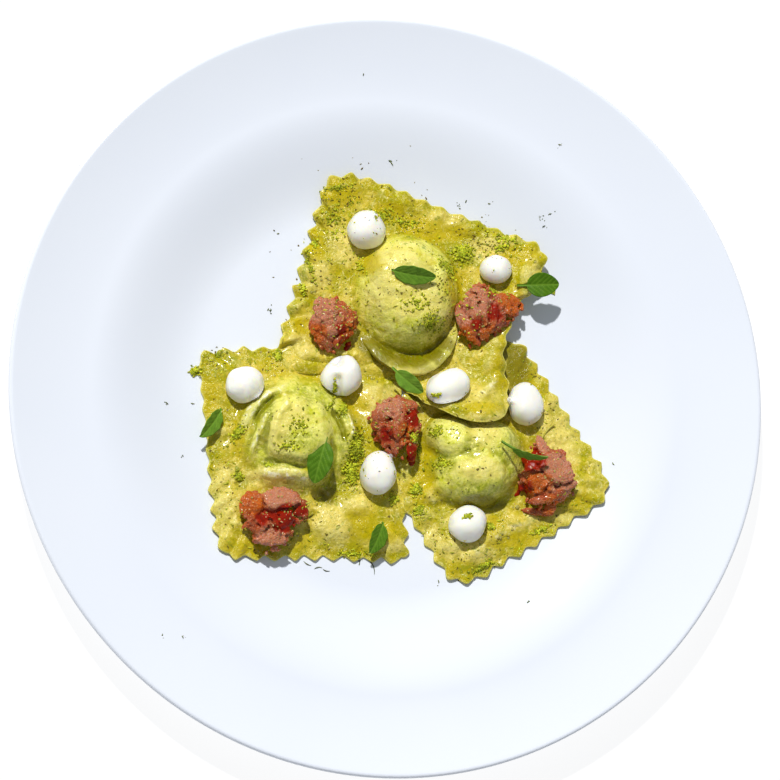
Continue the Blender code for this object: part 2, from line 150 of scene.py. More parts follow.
# A corner is x, y and its rounding. A dome, a bump or a plain place is x, y, two radii and a height. A curl
# is x, y, a radius and a height. A stroke is a width, a depth and the points that it runs through, and a
# stain is x, y and two radii. A plain place has low teeth: at a height of 0.6 they are gone, from there to
# 1 the edge melts into what is below it, and below 0 they are deeper. A stain is yellow where oil lies. A
# deep one is painted shade: dark in the grooves, under the lip and where a lifted edge throws its shadow.
# A pale one is where the pasta is starchy, and in places painted light on lit rims, curls and slopes. A
# green one is where herbs have coloured it, and in places painted shade in grooves and on shaded slopes. A
# piece settles at its edge by a share.
RIGHT = Raviolo(
    name="raviolo_right",
    corners=(
        (51, 24, 5), (82.5, -27, 3), (82, -36, 4), (31.5, -67, 5), (23, -65.5, 6), (12.5, -47, 12),
        (-13, -10, 6),
    ),
    ring=Dome(34.4, -21.7, 17.5, 17, 0),
    domes=(
        (34, -22.4, 18.4, 17.2, 9.6), (23.4, -14.2, 9, 8.6, 9.4), (38, -16.4, 12.5, 10.4, 8.4),
        (32, -29.4, 14.5, 10.6, 10.2),
    ),
    full=2.3, blend=2.5, lip=0, lip_towards=0, lip_spread=1, seed=11, teeth=0.95, settle=0.75,
    curls=((84, -32, 16, 1.4), (28, -66, 14, 0.4)),
    bumps=(
        (18.2, -34.6, 4.6, 4.4, 2.4), (12.6, -43.4, 6, 4, 1), (23, -52.5, 7, 3.4, 1.4),
        (50.5, -43.5, 6, 3, 0.9), (62, -10, 8, 6, 0.9), (33, -58, 9, 6, 1), (70, -30, 8, 5, 0.7),
        (46, -4, 7, 5, 0.8),
    ),
    strokes=(
        (2.2, -0.6, ((17, -20), (22, -24.8), (26.5, -24.9), (30.6, -22.9), (34.6, -21.5), (38, -21.6))),
        (2, -0.6, ((29.4, -9.5), (29.2, -14), (30, -18))), (2.4, 0.5, ((25, -28), (31, -27), (38, -27.5))),
        (1.4, -0.7, ((24, -37.5), (31, -40.6), (39.5, -39.2), (46, -33))),
        (2, -0.6, ((22, -31), (28, -33.5), (36, -33.8))),
        (2.8, 0.9, ((30, -62), (36, -52), (47, -47), (60, -45))),
        (1.8, -0.6, ((25, -60), (29, -54), (30, -50))),
    ),
    plain=(),
    stains=dict(
        oil=(
            (11.7, -33, 4.5, 5), (9.5, -46, 4, 4), (28, -62.5, 7, 3.5), (67, -37, 9, 3.5),
            # The oil stain at 53, 9 is also painted shade, in the shadow of the lifted flap.
            (46, -51, 11, 3.2), (53, 9, 5, 9), (40, -45.5, 4.5, 3), (15.5, -24, 3, 8), (50, -31, 4, 4),
        ),
        # Painted shade: the shadow of the top raviolo's lifted edge on this piece, and a crease on the mound.
        deep=((50.6, 14, 5.6, 11), (48.6, 0, 4.4, 6), (35, -38, 10, 1.8)),
        pale=(
            (66, -10, 7, 14), (62, -42, 9, 3), (31, -55.5, 11, 5.5), (16, -51, 5, 5), (35, -13.5, 7, 5),
            (33, -27, 9, 4),
        ),
        # The green stains on the mound's shaded sides and creases are partly painted shade.
        green=((35, -35.5, 13, 4), (45, -21, 5, 8), (30, -19, 4, 4), (20, -24, 5, 4), (42, -62, 16, 2.5)),
    ),
)
LEFT = Raviolo(
    name="raviolo_left",
    corners=(
        (6.5, 19, 6), (-52, 18, 20), (-68, 16, 3), (-65.2, -20, 30), (-62.8, -52, 8), (-59.5, -59, 3),
        (-30, -58, 30), (8, -59, 3), (6.3, -36, 30),
    ),
    ring=Dome(-31.2, -12.2, 20.8, 20, 0),
    domes=((-32.4, -13.2, 21.6, 20.8, 6.6), (-34, -12.8, 15.6, 14.6, 12)),
    full=3, blend=5, lip=0, lip_towards=0, lip_spread=1, seed=23, teeth=1, settle=0.75,
    curls=((-66, 14, 14, 0.6), (-61, -57, 14, 0.3), (-8, -44, 9, 1.2)),
    bumps=(
        (-20.4, -47, 8, 8.5, 1.9), (-11.4, -39.4, 5.5, 4, 1.3), (-58.5, -39, 6, 9, 1), (-62, -52, 5, 5, 1),
        (-61.5, -28, 4.5, 4.5, 1.1), (-40, -30, 15, 4, 1), (2, -51, 6, 6, 0.9), (-4, 2, 9, 6, 1.2),
        (-57, 11, 6, 5, 0.8),
    ),
    strokes=(
        (1.3, -2.2, ((-40.6, 1.4), (-43.4, -2), (-47.5, -7.1), (-49.2, -11.7))),
        (1.5, 2.1, ((-35.6, 4.7), (-42.5, 1.2), (-47, -1.7), (-50.5, -6.2), (-52.8, -10.8), (-53.5, -16.4))),
        (1.1, 1.7, ((-44.6, -3.6), (-46.6, -9), (-48.6, -15.3), (-49.8, -19.8), (-50.4, -23.8))),
        (1.2, -0.9, ((-43.2, -6), (-44.8, -11), (-46, -16.8), (-45.6, -21.5))),
        (1.2, 0.6, ((-41.2, -5.4), (-42.8, -11), (-43.8, -17), (-43, -22))),
        (1.1, -1, ((-48, -23.6), (-42.7, -24.6), (-38.1, -24.6), (-34.8, -25.6), (-29.8, -27.4))),
        (1.2, 0.4, ((-46, -21), (-41, -22.3), (-36, -22.3), (-30, -24.6))),
        (2.4, 1.3, ((-50, -27), (-42, -28.7), (-34, -29.2), (-27, -31.4))),
        (1.1, -2.2, ((-20.6, -4.3), (-17.8, -8.7), (-16.2, -13.2), (-15.7, -17.7))),
        (1.1, 1.6, ((-15.5, -4.2), (-13.6, -7.5), (-12.8, -12), (-13.4, -16.5))),
        (1.3, -1.2, ((-22.6, -14.6), (-19.8, -19.2), (-19.6, -27.3), (-19.5, -33.5))),
        (1.2, 1.2, ((-38, 2), (-38.6, -4), (-42, -8.5))),
        (1.6, -0.5, ((-31, 3.4), (-28.5, -2), (-29.5, -8))),
        (1.5, 0.6, ((-27.5, 2), (-25, -3), (-24.8, -9))), (1, 1.1, ((-24.5, -32.5), (-20.1, -36.9))),
        (1.8, -1, ((-28, -52), (-29, -46), (-26, -40))), (1.6, -1, ((-56, -33), (-52, -30), (-47, -31.5))),
        (1.6, -0.7, ((-65, -14), (-60, -15.5), (-55, -14))),
        (1.6, 0.8, ((-60, -46), (-54, -47), (-48, -51))),
    ),
    plain=((-67, -6, 7, 20, 0.3), (5.5, -18, 9, 22, 1), (-2, 17, 40, 5, 1)),
    stains=dict(
        oil=(
            (-9.5, -43, 5.5, 3), (-54.6, -15, 2.2, 6), (-65, 1, 4, 9), (-49.5, -38.5, 3.5, 4),
            (-3, -49, 9, 4), (-55, -55, 7, 3.5), (-41, 11, 7, 4), (-30, -53, 3, 4), (-10, -1, 4, 4),
            (-61, 10, 7, 5),
        ),
        # Painted shade in a crease beside the mound.
        deep=((-21, -35.5, 3.2, 3.2),),
        pale=(
            (-20.4, -46.5, 6.5, 7.5), (-11, -39.4, 5, 3.4), (-59, -36, 5.5, 11), (-62, -49, 4, 4),
            (-42, -29.6, 12, 3.5), (-37, -8, 6, 5), (-42, -14, 4, 8), (0, -53, 9, 3), (-3, 1, 6, 5),
        ),
        # The green at -19, -29 and along the mound's lower creases is partly painted shade.
        green=(
            (-46, -5, 3.5, 6), (-38, -25, 10, 2.4), (-17, -12, 3, 8), (-19, -29, 5, 6), (-27, 1, 8, 5),
            (-61, 12, 8, 6), (-32, -18, 7, 4), (-37, -25.5, 8, 2.4),
        ),
    ),
)
TOP = Raviolo(
    name="raviolo_top",
    corners=(
        (-20, 81.5, 4), (-8, 83, 16), (60, 57, 4), (60.5, 49, 5), (47, 30, 24), (43, 16, 16), (46.5, 1, 10),
        (42, -9.5, 11), (27, -9.5, 9), (16, -2.5, 8), (2, 8.5, 8), (-37.5, 9, 5), (-39.5, 17, 8),
        (-31, 42, 30), (-25.5, 62, 20),
    ),
    ring=Dome(9.5, 34.4, 20.4, 26.4, 0),
    domes=((9.2, 39.6, 18.8, 20.8, 13.2), (4, 45, 12, 11, 12)),
    full=2.8, blend=5, lip=3.4, lip_towards=277, lip_spread=50, seed=37, teeth=0.85, settle=0,
    curls=((55, 34, 20, 5.5), (49, 14, 12, 2.6), (62, 54, 16, 1.5), (-21, 83, 14, 0.3)),
    bumps=(
        (52.5, 43, 2.6, 8, 1.5), (-16, 48, 6, 6, 0.8), (32, 65, 8, 4, 0.9), (-24, 44, 6, 8, 0.9),
        (-30, 20, 8, 7, 1.1), (-14, 62, 6, 8, 0.7), (48, 60, 7, 4, 0.7), (37, 14, 7, 5, 0.9),
        (10, 73, 8, 4, 0.8),
    ),
    strokes=(
        (1.5, -0.7, ((-9.5, 24.5), (-7.8, 22.9), (-2.1, 19.8), (3, 18), (9.4, 16.8), (14.6, 17.4),
          (20.4, 20.4), (25, 24.8))),
        (0.9, 0.6, ((-5, 11.8), (-1, 10.2), (5, 9.6), (11.4, 9.8), (18, 12.8), (22, 16.4))),
        (1.5, -0.5, ((14, 50), (17, 45), (20, 38), (22.9, 30))),
        (1.5, 0.5, ((18, 48), (21, 40), (24.4, 31))),
        (2.4, -0.5, ((-4, 42), (-0.5, 37), (0.2, 32), (-1.6, 28))),
        (2.4, 0.5, ((2.5, 41), (5.2, 36), (5, 30))), (1.8, -0.4, ((-7, 33), (-2, 28), (5, 25.4))),
        (2.2, -0.4, ((2, 56), (7, 52), (12, 53))), (1.8, 1, ((31, -1), (36, 2), (40, 6), (41.5, 11))),
        (2, -0.8, ((47, 48), (46, 42), (42, 38))), (2, -0.3, ((-33, 30), (-27, 33), (-20, 32))),
    ),
    plain=(
        (30, -5, 17, 10, 0.6), (44, 14, 9, 26, 0.2), (0, 9, 21, 9, 1), (-31, 11, 14, 12, 1),
        (26, 74, 38, 14, 0.16), (-30, 48, 12, 30, -0.3),
    ),
    stains=dict(
        oil=(
            (14.5, 64.4, 9, 3.2), (28, 62, 4, 3), (52, 54.6, 7, 3.2), (-25, 57, 3.5, 8), (-14, 75, 9, 4),
            (4, 70, 6, 3), (-37, 16, 4, 5), (-6, 49, 4, 5), (44, 12, 4, 9), (-29, 27, 6, 4), (29, 44, 3, 6),
            (35, -4.5, 7, 2.4), (19.4, 61.4, 7, 3), (51.8, 53.2, 6, 3), (23, 41, 3, 7),
        ),
        # Painted shade: in the groove between the mound and the lip, where the mound's shadow falls, and in
        # the lip's shadow below it.
        deep=(
            (-6, 19.6, 5, 3.4), (-0.4, 16.2, 5, 3.6), (6, 14.2, 5, 3.6), (12.4, 14, 5, 3.6),
            (18, 16.2, 4, 3.4), (23, 20.8, 3, 3.2), (-4, 8.4, 8, 3),
        ),
        # Painted light among the pale stains: the lip's lit rim at 9, 9.4, the lit curl at 55.5, 45, the
        # bright rim of the curled lobe from 46, -2 to 27, -9.6, and the shaded slope at 20, 26, painted
        # lighter.
        pale=(
            (6, 40, 13, 12), (-25, 46, 6.5, 6), (-14, 57, 5, 8), (24, 67.5, 7, 3), (-30.5, 19.5, 5, 5),
            (38, 56, 8, 4), (3, 49, 10, 8), (8, 33, 9, 5), (9, 9.4, 14, 1.6), (34, 1, 8, 4),
            (55.5, 45, 2.4, 9), (17, 33, 7, 6), (30, 2, 8, 4), (46, -2, 2.6, 7), (38, -8.4, 8, 2.6),
            (27, -9.6, 6, 2.2), (20, 26, 7, 5), (-34, 15, 5, 6),
        ),
        # The green along the groove at 6, 17.5 and 15, 25.5 is partly painted shade.
        green=((15, 25.5, 8, 3), (30, 54, 6, 5), (6, 17.5, 16, 3), (-31, 51, 4, 9), (44, 66, 12, 3)),
    ),
)
RAVIOLI = (RIGHT, LEFT, TOP)

# A mark is a groove, or where its height is above 0 a ridge, with its length along its turn.
CREAM = (
    Dot(-6.4, 61.8, 14.6, 14.0, 60, 10.0, (Mark(-9.0, 66.0, 16, 3.0, 20, 0.4),)),
    Dot(42.0, 48.0, 11.6, 11.2, 0, 8.2, ()),
    Dot(-52.2, 4.2, 14.0, 13.6, 20, 9.0, (Mark(-49.0, 2.0, 9, 2.0, 60, -0.5),)),
    Dot(
        -16.4, 7.6, 16.0, 14.6, 80, 9.4,
        (
            Mark(-19.0, 1.2, 15, 1.9, 96, -3.0), Mark(-18.6, 14.6, 10, 2.6, 80, -3.4),
            Mark(-13.2, 7.6, 12, 4, 80, 0.7),
        ),
    ),
    Dot(
        22.4, 4.2, 16.6, 12.6, 22, 8.6,
        (Mark(15.4, 9.4, 22, 4.0, 40, -1.2), Mark(19, -2, 12, 3.4, 0, 0.6), Mark(28, 9, 9, 4, 70, 0.5)),
    ),
    Dot(
        52.0, -1.4, 16.0, 13.4, 102, 9.0,
        (Mark(45.8, -0.6, 5, 1.0, 170, 1.3), Mark(46, 3, 9, 2.4, 60, -0.5)),
    ),
    Dot(-3.4, -28.2, 16.6, 12.8, 80, 9.0, (Mark(-7.0, -31.0, 12, 2.4, 100, -0.4),)),
    Dot(29.8, -46.0, 14.0, 13.2, 10, 9.4, ()),
)
CREAM_SEGMENTS = 72
CREAM_RINGS = 44
CREAM_HEM = 0.3
CREAM_UNEVEN = 0.8

# A heap's lobes are directions in degrees and how far each stands out. Its patches are where its meat is
# deep red, pale or amber, each with x, y and a radius. Its flakes are its larger pieces.
TARTARE = (
    Heap(
        -19.6, 26.6, 20.5, 17.4, 112, 10.5, ((20, 1.5), (250, 1)),
        dict(
            red=((-14.2, 17.6, 4.2), (-17.5, 24, 1.8)),
            pale=((-24, 32, 6), (-20, 23.5, 3)),
            amber=((-14, 23.5, 4), (-26, 23, 3)),
        ),
        (
            (-24, 32, 9, 6.5, 100, 12, 0.3), (-18, 30, 9, 4.5, 60, -25, 0.3), (-20, 23.5, 8, 4, 20, 25, 0.5),
            (-26, 25, 7, 4.5, 80, 15, 0.1),
        ),
    ),
    Heap(
        35.6, 30.6, 19.6, 18.4, 70, 9.5, ((15, 8), (85, 3), (250, 2.5)),
        dict(
            red=((39.6, 31, 2.8), (33.2, 26, 2.4)),
            pale=((33.5, 35, 5.5), (28.5, 30, 3.5)),
            amber=((30, 22.6, 3.6), (47, 36, 5), (37, 24.5, 3)),
        ),
        (
            (27.8, 30, 10, 3.6, 100, 30, 0.3), (32.6, 31, 13, 3.2, 96, -20, 0.5),
            (36.2, 33, 12, 3.2, 88, 25, 0.5), (39.6, 30, 10, 3.2, 84, -25, 0.3),
            (45, 36.6, 11, 5, -6, 10, 0.2), (31, 23.6, 7, 3.6, 120, 0, 0.1),
        ),
    ),
    Heap(
        3.4, -9.8, 20.5, 18.5, 60, 11.5, ((285, 6), (150, 2.5)),
        dict(
            red=((9, -8, 3.2), (8.6, -21.5, 3.2), (-1.5, -15, 2.2)),
            pale=((0.5, -4, 4.5), (8, -25, 2.4)),
            amber=((6, -14.5, 3.5),),
        ),
        (
            (-2.5, -6.5, 10, 6, 35, 15, 0.4), (5.5, -2.6, 9, 5.5, -20, -15, 0.4),
            (3.5, -12, 9, 5, 65, 20, 0.5), (8.4, -18, 9, 4.5, 85, 0, 0.2),
        ),
    ),
    Heap(
        -42.6, -43.4, 25.5, 20, 12, 11.5, ((265, 5), (20, 1)),
        dict(
            red=((-39.8, -45.6, 5), (-33.6, -43, 2.4), (-47, -45.5, 2.4)),
            pale=((-40.6, -38, 6.4), (-44, -54, 5.5)),
            amber=((-52, -40, 5),),
        ),
        (
            (-40.6, -38.4, 14, 8.5, 4, -10, 0.9), (-51.5, -40, 10, 8, 60, 20, 0.5),
            (-33.4, -41, 9, 5, -55, 20, 0.3), (-44, -53.5, 12, 4, 0, 0, 0.1), (-49, -50, 8, 4, -40, 20, 0.2),
        ),
    ),
    Heap(
        59.6, -28.2, 23, 21, 130, 11, ((100, 2.5), (330, 1), (258, 3)),
        dict(
            red=((53.2, -22.6, 4.6), (50.4, -33.5, 2.4)),
            pale=((62, -27, 7), (68, -33, 4), (57.4, -16, 4)),
            amber=((55, -31, 4.5), (60, -39, 3)),
        ),
        (
            (57.8, -17.4, 10, 5.4, 105, 30, 0.6), (62, -26, 14, 9, -35, -10, 0.6),
            (65, -33.6, 12, 3.4, 28, 15, 0.4), (58, -37, 13, 3.4, 12, -12, 0.3),
            (56.4, -41, 12, 3.2, 4, 10, 0.1), (56, -30.6, 10, 6, 0, 12, 0.4),
        ),
    ),
)
FLAKE_THICK = 2.2
BITS = 36
BIT_SIZE = (1.6, 3.0)
BIT_FLAT = 0.34
GRAINS = 110
GRAIN_SIZE = (0.5, 1.0)
CORES = 26
HEAP_VOXEL = 0.33
HEAP_PROFILE = 2.2
LOBE_SPREAD = 28

# A leaf's drop is how far it lies below the frame's own leaf, whose foot rests higher up.
LEAVES = (
    Leaf(9.0, 43.8, 15.6, 7.6, -8, 38, 2, 1.0, 0, 0.7),
    Leaf(58.6, 42.2, 12.0, 9.0, 2, 10, 4, 3.5, 0, 0.1),
    Leaf(-65.0, -10.6, 13.0, 7.0, 232, -35, 8, 1.0, 0, 0.9),
    Leaf(-26.2, -25.2, 15.6, 9.2, 256, 12, -12, 2.0, 3, 0.2),
    Leaf(7.8, 5.0, 12.6, 6.6, -36, 32, -8, 2.0, 8, 1.0),
    Leaf(-4.4, -52.0, 11.8, 7.2, 245, -25, 2, 1.0, 0, 0.3),
    Leaf(51.0, -21.4, 13.6, 6.0, -14, 78, 0, 4.5, 0, 0.6),
)
LEAF_STATIONS = 64
STALK_STATIONS = 8
LEAF_COLUMNS = 20
LEAF_THICK = 0.45
LEAF_FOLD = 0.22
LEAF_ARCH = 0.12
LEAF_SKEW = 0.8
LEAF_FULLNESS = 0.6
STALK_WIDTH = 0.9
VEIN_PAIRS = 6

# Grated zest lies in piles, and thinly all over. The rows are those of Pile.
ZEST_PILES = (
    (-11, -18, 13, 7, 88, 1.6, 420), (-13, -27, 11, 6, 100, 1.4, 300), (-69.4, 9.6, 5, 3.6, 20, 1, 90),
    (-61, 15.6, 4.5, 2.5, 20, 0.2, 30), (-24.5, 57.4, 3, 6, 0, 0.3, 26), (-29.5, 40, 3, 7, 0, 0.3, 26),
    (30.2, 54.6, 11, 8, 15, 0.5, 190), (23, 48, 12, 7, -40, 0.1, 110), (-16, -4.4, 5.5, 3.6, 60, 0.7, 90),
    (-21, -3, 5, 3, 60, 0.2, 30), (11.6, -33.2, 6, 6, 40, 0.4, 90), (12.5, -40.5, 6, 5, 0, 0.2, 60),
    (17.6, -12.6, 6, 9, 0, 0.2, 60), (20, -24.5, 8, 6, 0, 0.2, 60), (-39, 15.4, 5, 6, 0, 0.3, 60),
    (28.6, -44, 4.2, 2.2, 0, 0.3, 44), (39, -46.5, 4, 3.5, 0, 0.3, 50), (2.6, -37, 6, 6, 0, 0.2, 44),
    (9.5, -15.5, 7, 6, 0, 0.2, 50), (12.8, -19, 2.5, 8, 0, 0.2, 30), (-19.4, 3, 1.6, 8, 5, 0.4, 44),
    (17, 0, 6, 1.8, 0, 0.2, 20), (65, 41.4, 2.6, 2.6, 0, 0.2, 12), (40, 40, 6, 8, 0, 0.1, 30),
    (-54.5, -13.5, 4, 7, -30, 0.5, 100), (-54, -29, 5, 5, 0, 0.2, 44), (-34, -12, 18, 14, 0, 0.1, 40),
    (-38.5, -19.6, 12, 5, 0, 0.2, 34), (-44, -25.5, 5, 2, 0, 0.1, 26), (36, -61, 14, 3, 25, 0.2, 60),
    (58, -47, 12, 3, 25, 0.2, 40), (-16, 78, 14, 4, 10, 0.1, 40), (16, 27, 14, 12, 0, 0.1, 80),
    (-4, 9.6, 10, 2.5, -10, 0.2, 50), (-12, -57, 24, 3, 0, 0.1, 40), (0, 68, 12, 8, 0, 0.1, 44),
    (46, 60, 16, 4, -20, 0.2, 60), (-18, 66, 14, 22, 0, 0.1, 36), (8, 66, 40, 10, -15, 0.1, 44),
    (44, 57, 22, 10, 0, 0.1, 40), (-27, 50, 3, 20, 10, 0.2, 40), (-8, 48, 5, 12, 0, 0.1, 24),
    (10, 34, 30, 24, 0, 0.1, 50),
)
ZEST_PLENTY = 1.5
ZEST_THIN = 650
FLECKS_THIN = 600
JUICE_BEADS = 20
SPARKLE_GRAINS = 46
SHEET_BEADS = 130
CROWDS_SEED = 411
STRIP_SHARE = 0.3
STRIP_STEPS = 6
BEAD_RINGS = 6
BEAD_SIDES = 10

# ---- shader arithmetic


class Wire:
    """A value inside a material. Arithmetic on it adds Math nodes."""

    def __init__(self, finish, socket):
        self.finish = finish
        self.socket = socket

    def __add__(self, other):
        return self.finish.maths("ADD", self, other)

    __radd__ = __add__

    def __sub__(self, other):
        return self.finish.maths("SUBTRACT", self, other)

    def __rsub__(self, other):
        return self.finish.maths("SUBTRACT", other, self)

    def __mul__(self, other):
        return self.finish.maths("MULTIPLY", self, other)

    __rmul__ = __mul__


class Finish:
    """A material made of nodes, with its constant values set on the shader's own sockets."""

    def __init__(self, name, **constants):
        self.material = bpy.data.materials.new(name)
        self.material.use_nodes = True
        self.tree = self.material.node_tree
        self.shader = self.tree.nodes["Principled BSDF"]
        for key, value in constants.items():
            self.shader.inputs[key.replace("_", " ")].default_value = value
        self.places = self.node("ShaderNodeTexCoord", output="Object")
        self.colour = None

    def node(self, kind, settings=None, sockets=None, output=0):
        """Adds a node: its settings first, then the values or links of its sockets."""
        made = self.tree.nodes.new(kind)
        for key, value in (settings or {}).items():
            setattr(made, key, value)
        for key, value in (sockets or {}).items():
            if isinstance(value, Wire):
                self.tree.links.new(value.socket, made.inputs[key])
            else:
                made.inputs[key].default_value = value
        return Wire(self, made.outputs[output])

    def maths(self, operation, one, other=0.0):
        return self.node("ShaderNodeMath", {"operation": operation}, {0: one, 1: other})

    def clamp(self, value):
        return self.node("ShaderNodeClamp", None, {"Value": value})

    def step(self, value, low, high):
        """0 below low and 1 above high, with a smooth change between them."""
        settings = {"interpolation_type": "SMOOTHSTEP"}
        return self.node("ShaderNodeMapRange", settings, {"Value": value, "From Min": low, "From Max": high})

    def mix(self, share, one, other):
        """From one colour to another."""
        sockets = {0: share, 6: rgb(one), 7: rgb(other)}
        return self.node("ShaderNodeMix", {"data_type": "RGBA"}, sockets, 2)

    def lay(self, share, colour):
        """Covers the finish's colour so far with another, by a share."""
        self.colour = self.mix(share, self.colour, colour)

    def moved(self, by):
        return self.node("ShaderNodeVectorMath", {"operation": "ADD"}, {0: self.places, 1: (by,) * 3})

    def noise(self, size, detail=2.0, roughness=0.5, distortion=0.0, moved=0.0):
        """Cloudy noise from 0 to 1, with lumps of a size in millimetres."""
        sockets = {"Vector": self.moved(moved), "Scale": 1 / (size * MM), "Detail": detail}
        sockets |= {"Roughness": roughness, "Distortion": distortion}
        return self.node("ShaderNodeTexNoise", None, sockets)

    def cells(self, size, output="Distance", moved=0.0, ragged=0.0):
        """Scattered points, about a size apart: the distance to the nearest, or its own colour."""
        place = self.moved(moved)
        if ragged:
            sockets = {"Vector": place, "Scale": 1.6 / (size * MM)}
            stray = self.node("ShaderNodeTexNoise", None, sockets, "Color")
            sockets = {0: stray, 1: (ragged * size * MM,) * 3, 2: place}
            place = self.node("ShaderNodeVectorMath", {"operation": "MULTIPLY_ADD"}, sockets)
        return self.node("ShaderNodeTexVoronoi", None, {"Vector": place, "Scale": 1 / (size * MM)}, output)

    def own(self, size, moved=0.0, ragged=0.0):
        """A random value from 0 to 1 for each scattered point, the same all over its cell."""
        return self.node("ShaderNodeSeparateColor", None, {"Color": self.cells(size, "Color", moved, ragged)})

    def specks(self, size, share, radius, moved=0.0):
        """Small ragged spots: how far a place is inside one, 0 to 1. share is how many cells have one."""
        away = self.cells(size, moved=moved, ragged=1.0)
        reach = (self.own(size, moved, 1.0) - (1 - share)) * (radius / size / share)
        return self.step(reach - away, 0.0, 0.08)

    def painted(self, names):
        """Values painted on the mesh's points, one for each name."""
        wires = [
            self.node("ShaderNodeAttribute", {"attribute_name": name}, None, "Fac") for name in names.split()
        ]
        return wires if len(wires) > 1 else wires[0]

    def bump(self, height, depth):
        """A relief of a depth in millimetres."""
        return self.node("ShaderNodeBump", None, {"Height": height, "Strength": 1.0, "Distance": depth * MM})

    def feed(self, **wires):
        """Links the colour and other values to the shader, and gives the material."""
        if self.colour:
            wires["Base_Color"] = self.colour
        for key, wire in wires.items():
            self.tree.links.new(wire.socket, self.shader.inputs[key.replace("_", " ")])
        return self.material


def rgb(colour):
    return (*colour, 1.0) if isinstance(colour, tuple) else colour


# ---- finishes


def porcelain_finish():
    finish = Finish("porcelain glaze", Roughness=0.16, IOR=1.5, Specular_IOR_Level=0.35)
    finish.colour = finish.mix(finish.noise(60, 2), (0.78, 0.825, 0.92), (0.82, 0.86, 0.94))
    height = finish.noise(9, 2)
    rough = finish.noise(25, 3) * 0.08 + 0.12
    return finish.feed(Roughness=rough, Normal=finish.bump(height, 0.02))


def pasta_finish():
    finish = Finish(
        "green pasta", Subsurface_Weight=0.18, Subsurface_Radius=(1.0, 0.8, 0.15), Subsurface_Scale=0.002,
        Coat_Roughness=0.1, Specular_IOR_Level=0.3, IOR=1.42,
    )
    mix, lay, noise, step = finish.mix, finish.lay, finish.noise, finish.step
    mound, pool, edge, cut, oil = finish.painted("mound pool edge cut oil")
    deep, pale, green, fold = finish.painted("deep pale green fold")
    patches = noise(10, 3, 0.6, 0.4, 0.31)
    mottle = noise(3.2, 3, 0.6, 0.6)
    fine = noise(1.2, 3, 0.6, 0.3, 0.17)
    grit = noise(1.7, 4, 0.75, 0.8, 0.43)
    grain = noise(0.7, 2, 0.6)

    # The sheet, the mounds, then what is dry, sunk, oily or green. Raised places are painted paler, and sunk
    # places darker: oil that gathers there, and on the mounds painted shade.
    finish.colour = mix(step(patches, 0.42, 0.58), (0.50, 0.43, 0.004), (0.71, 0.56, 0.065))
    lay(step(mottle, 0.42, 0.62) * 0.6, (0.34, 0.325, 0.003))
    rim = edge * step(noise(7, 3, 0.6, 0.5, 0.9), 0.38, 0.6)
    lay(rim * 0.7, (0.44, 0.375, 0.001))
    hill = mix(step(mottle, 0.38, 0.7), (0.88, 0.86, 0.20), (0.62, 0.64, 0.025))
    lay(mound * 0.9, hill)
    # Pale stains: starchy pasta, and in places painted light.
    lay(pale * (0.35 + 0.6 * fine), (0.83, 0.69, 0.18))
    lay(step(pool, -0.15, -0.9) * 0.3, (0.84, 0.78, 0.28))
    # Sunk places: oil on the sheet, and painted shade in dark green on the mounds.
    sunk = step(pool, 0.2, 1.0)
    lay(sunk * 0.7, mix(mound, (0.42, 0.35, 0.001), (0.24, 0.25, 0.002)))
    drops = step(noise(6, 2, 0.5, 0.8, 0.77), 0.57, 0.66)
    film = finish.clamp(oil + drops * 0.7 + sunk * 0.6)
    yellow = finish.clamp(oil + drops * 0.5)
    lay(yellow * 0.8, (0.56, 0.44, 0.001))
    # Green stains: herbs, and in places painted shade.
    herbal = finish.clamp(green * 0.9 + edge * step(noise(5, 3, 0.6, 0.4, 0.13), 0.52, 0.68))
    lay(herbal * step(fine, 0.3, 0.6) * 0.65, (0.25, 0.30, 0.003))

    # Fine grains of cheese and herb all over, fewer on the mounds, then painted shade and painted highlights
    # on the folds, the painted shade of the deep stains, and painted light on the cut edge.
    rugged = 1 - 0.55 * mound
    lay(step(grit, 0.55, 0.66) * rugged * (0.5 + 0.5 * herbal), (0.25, 0.27, 0.002))
    dry = step(grit, 0.46, 0.34) * (0.35 + 0.35 * rugged) * (1 - 0.75 * yellow)
    lay(dry, (0.90, 0.81, 0.30))
    # Painted shade in the creases, and painted highlights on the crests.
    lay(step(fold, -0.12, -0.8) * 0.7, (0.22, 0.21, 0.001))
    lay(step(fold, 0.2, 1.0) * 0.45, (0.84, 0.80, 0.32))
    # Painted glints along the crests.
    glint = step(fold, 0.25, 0.7) * step(noise(2.2, 2, 0.5, 0.4, 0.63), 0.5, 0.6)
    lay(glint * 0.7, (1.0, 0.97, 0.74))
    # Painted shade from the deep stains.
    lay(deep * 0.8, (0.17, 0.145, 0.0005))
    # Painted light along the cut edge, where the thin dough is lit through.
    lay(cut * 0.6, (0.78, 0.72, 0.16))

    # Specks of dried herb.
    crowd = step(noise(11, 2, 0.5, 0.0, 0.51), 0.42, 0.6)
    brown = finish.specks(1.6, 0.3, 0.55, 0.11) * (0.15 + 0.85 * crowd)
    green_specks = finish.specks(2.3, 0.5, 0.9, 0.27) * (0.2 + 0.8 * crowd)
    lay(green_specks * 0.6, (0.20, 0.27, 0.003))
    lay(brown * 0.85, (0.085, 0.055, 0.003))
    relief = mottle * 0.75 + fine * (0.35 + 0.3 * rugged) + grain * (0.08 + 0.12 * rugged)
    normal = finish.bump(relief, 0.62)
    rough = 0.19 - 0.06 * film + 0.1 * grain * rugged
    wet = finish.clamp(0.05 + 0.2 * film + 0.15 * mound)
    return finish.feed(Roughness=rough, Coat_Weight=wet, Normal=normal)


def cream_finish():
    finish = Finish(
        "white cream", Subsurface_Weight=0.8, Subsurface_Radius=(1.0, 0.85, 0.55), Subsurface_Scale=0.004,
        Coat_Weight=0.15, Coat_Roughness=0.2,
    )
    noise = finish.noise
    finish.colour = finish.mix(noise(6, 2), (0.965, 0.925, 0.81), (0.985, 0.955, 0.88))
    height = noise(1.2, 3) + noise(3.5, 2) * 2
    rough = noise(3, 2) * 0.15 + 0.33
    return finish.feed(Roughness=rough, Normal=finish.bump(height, 0.05))


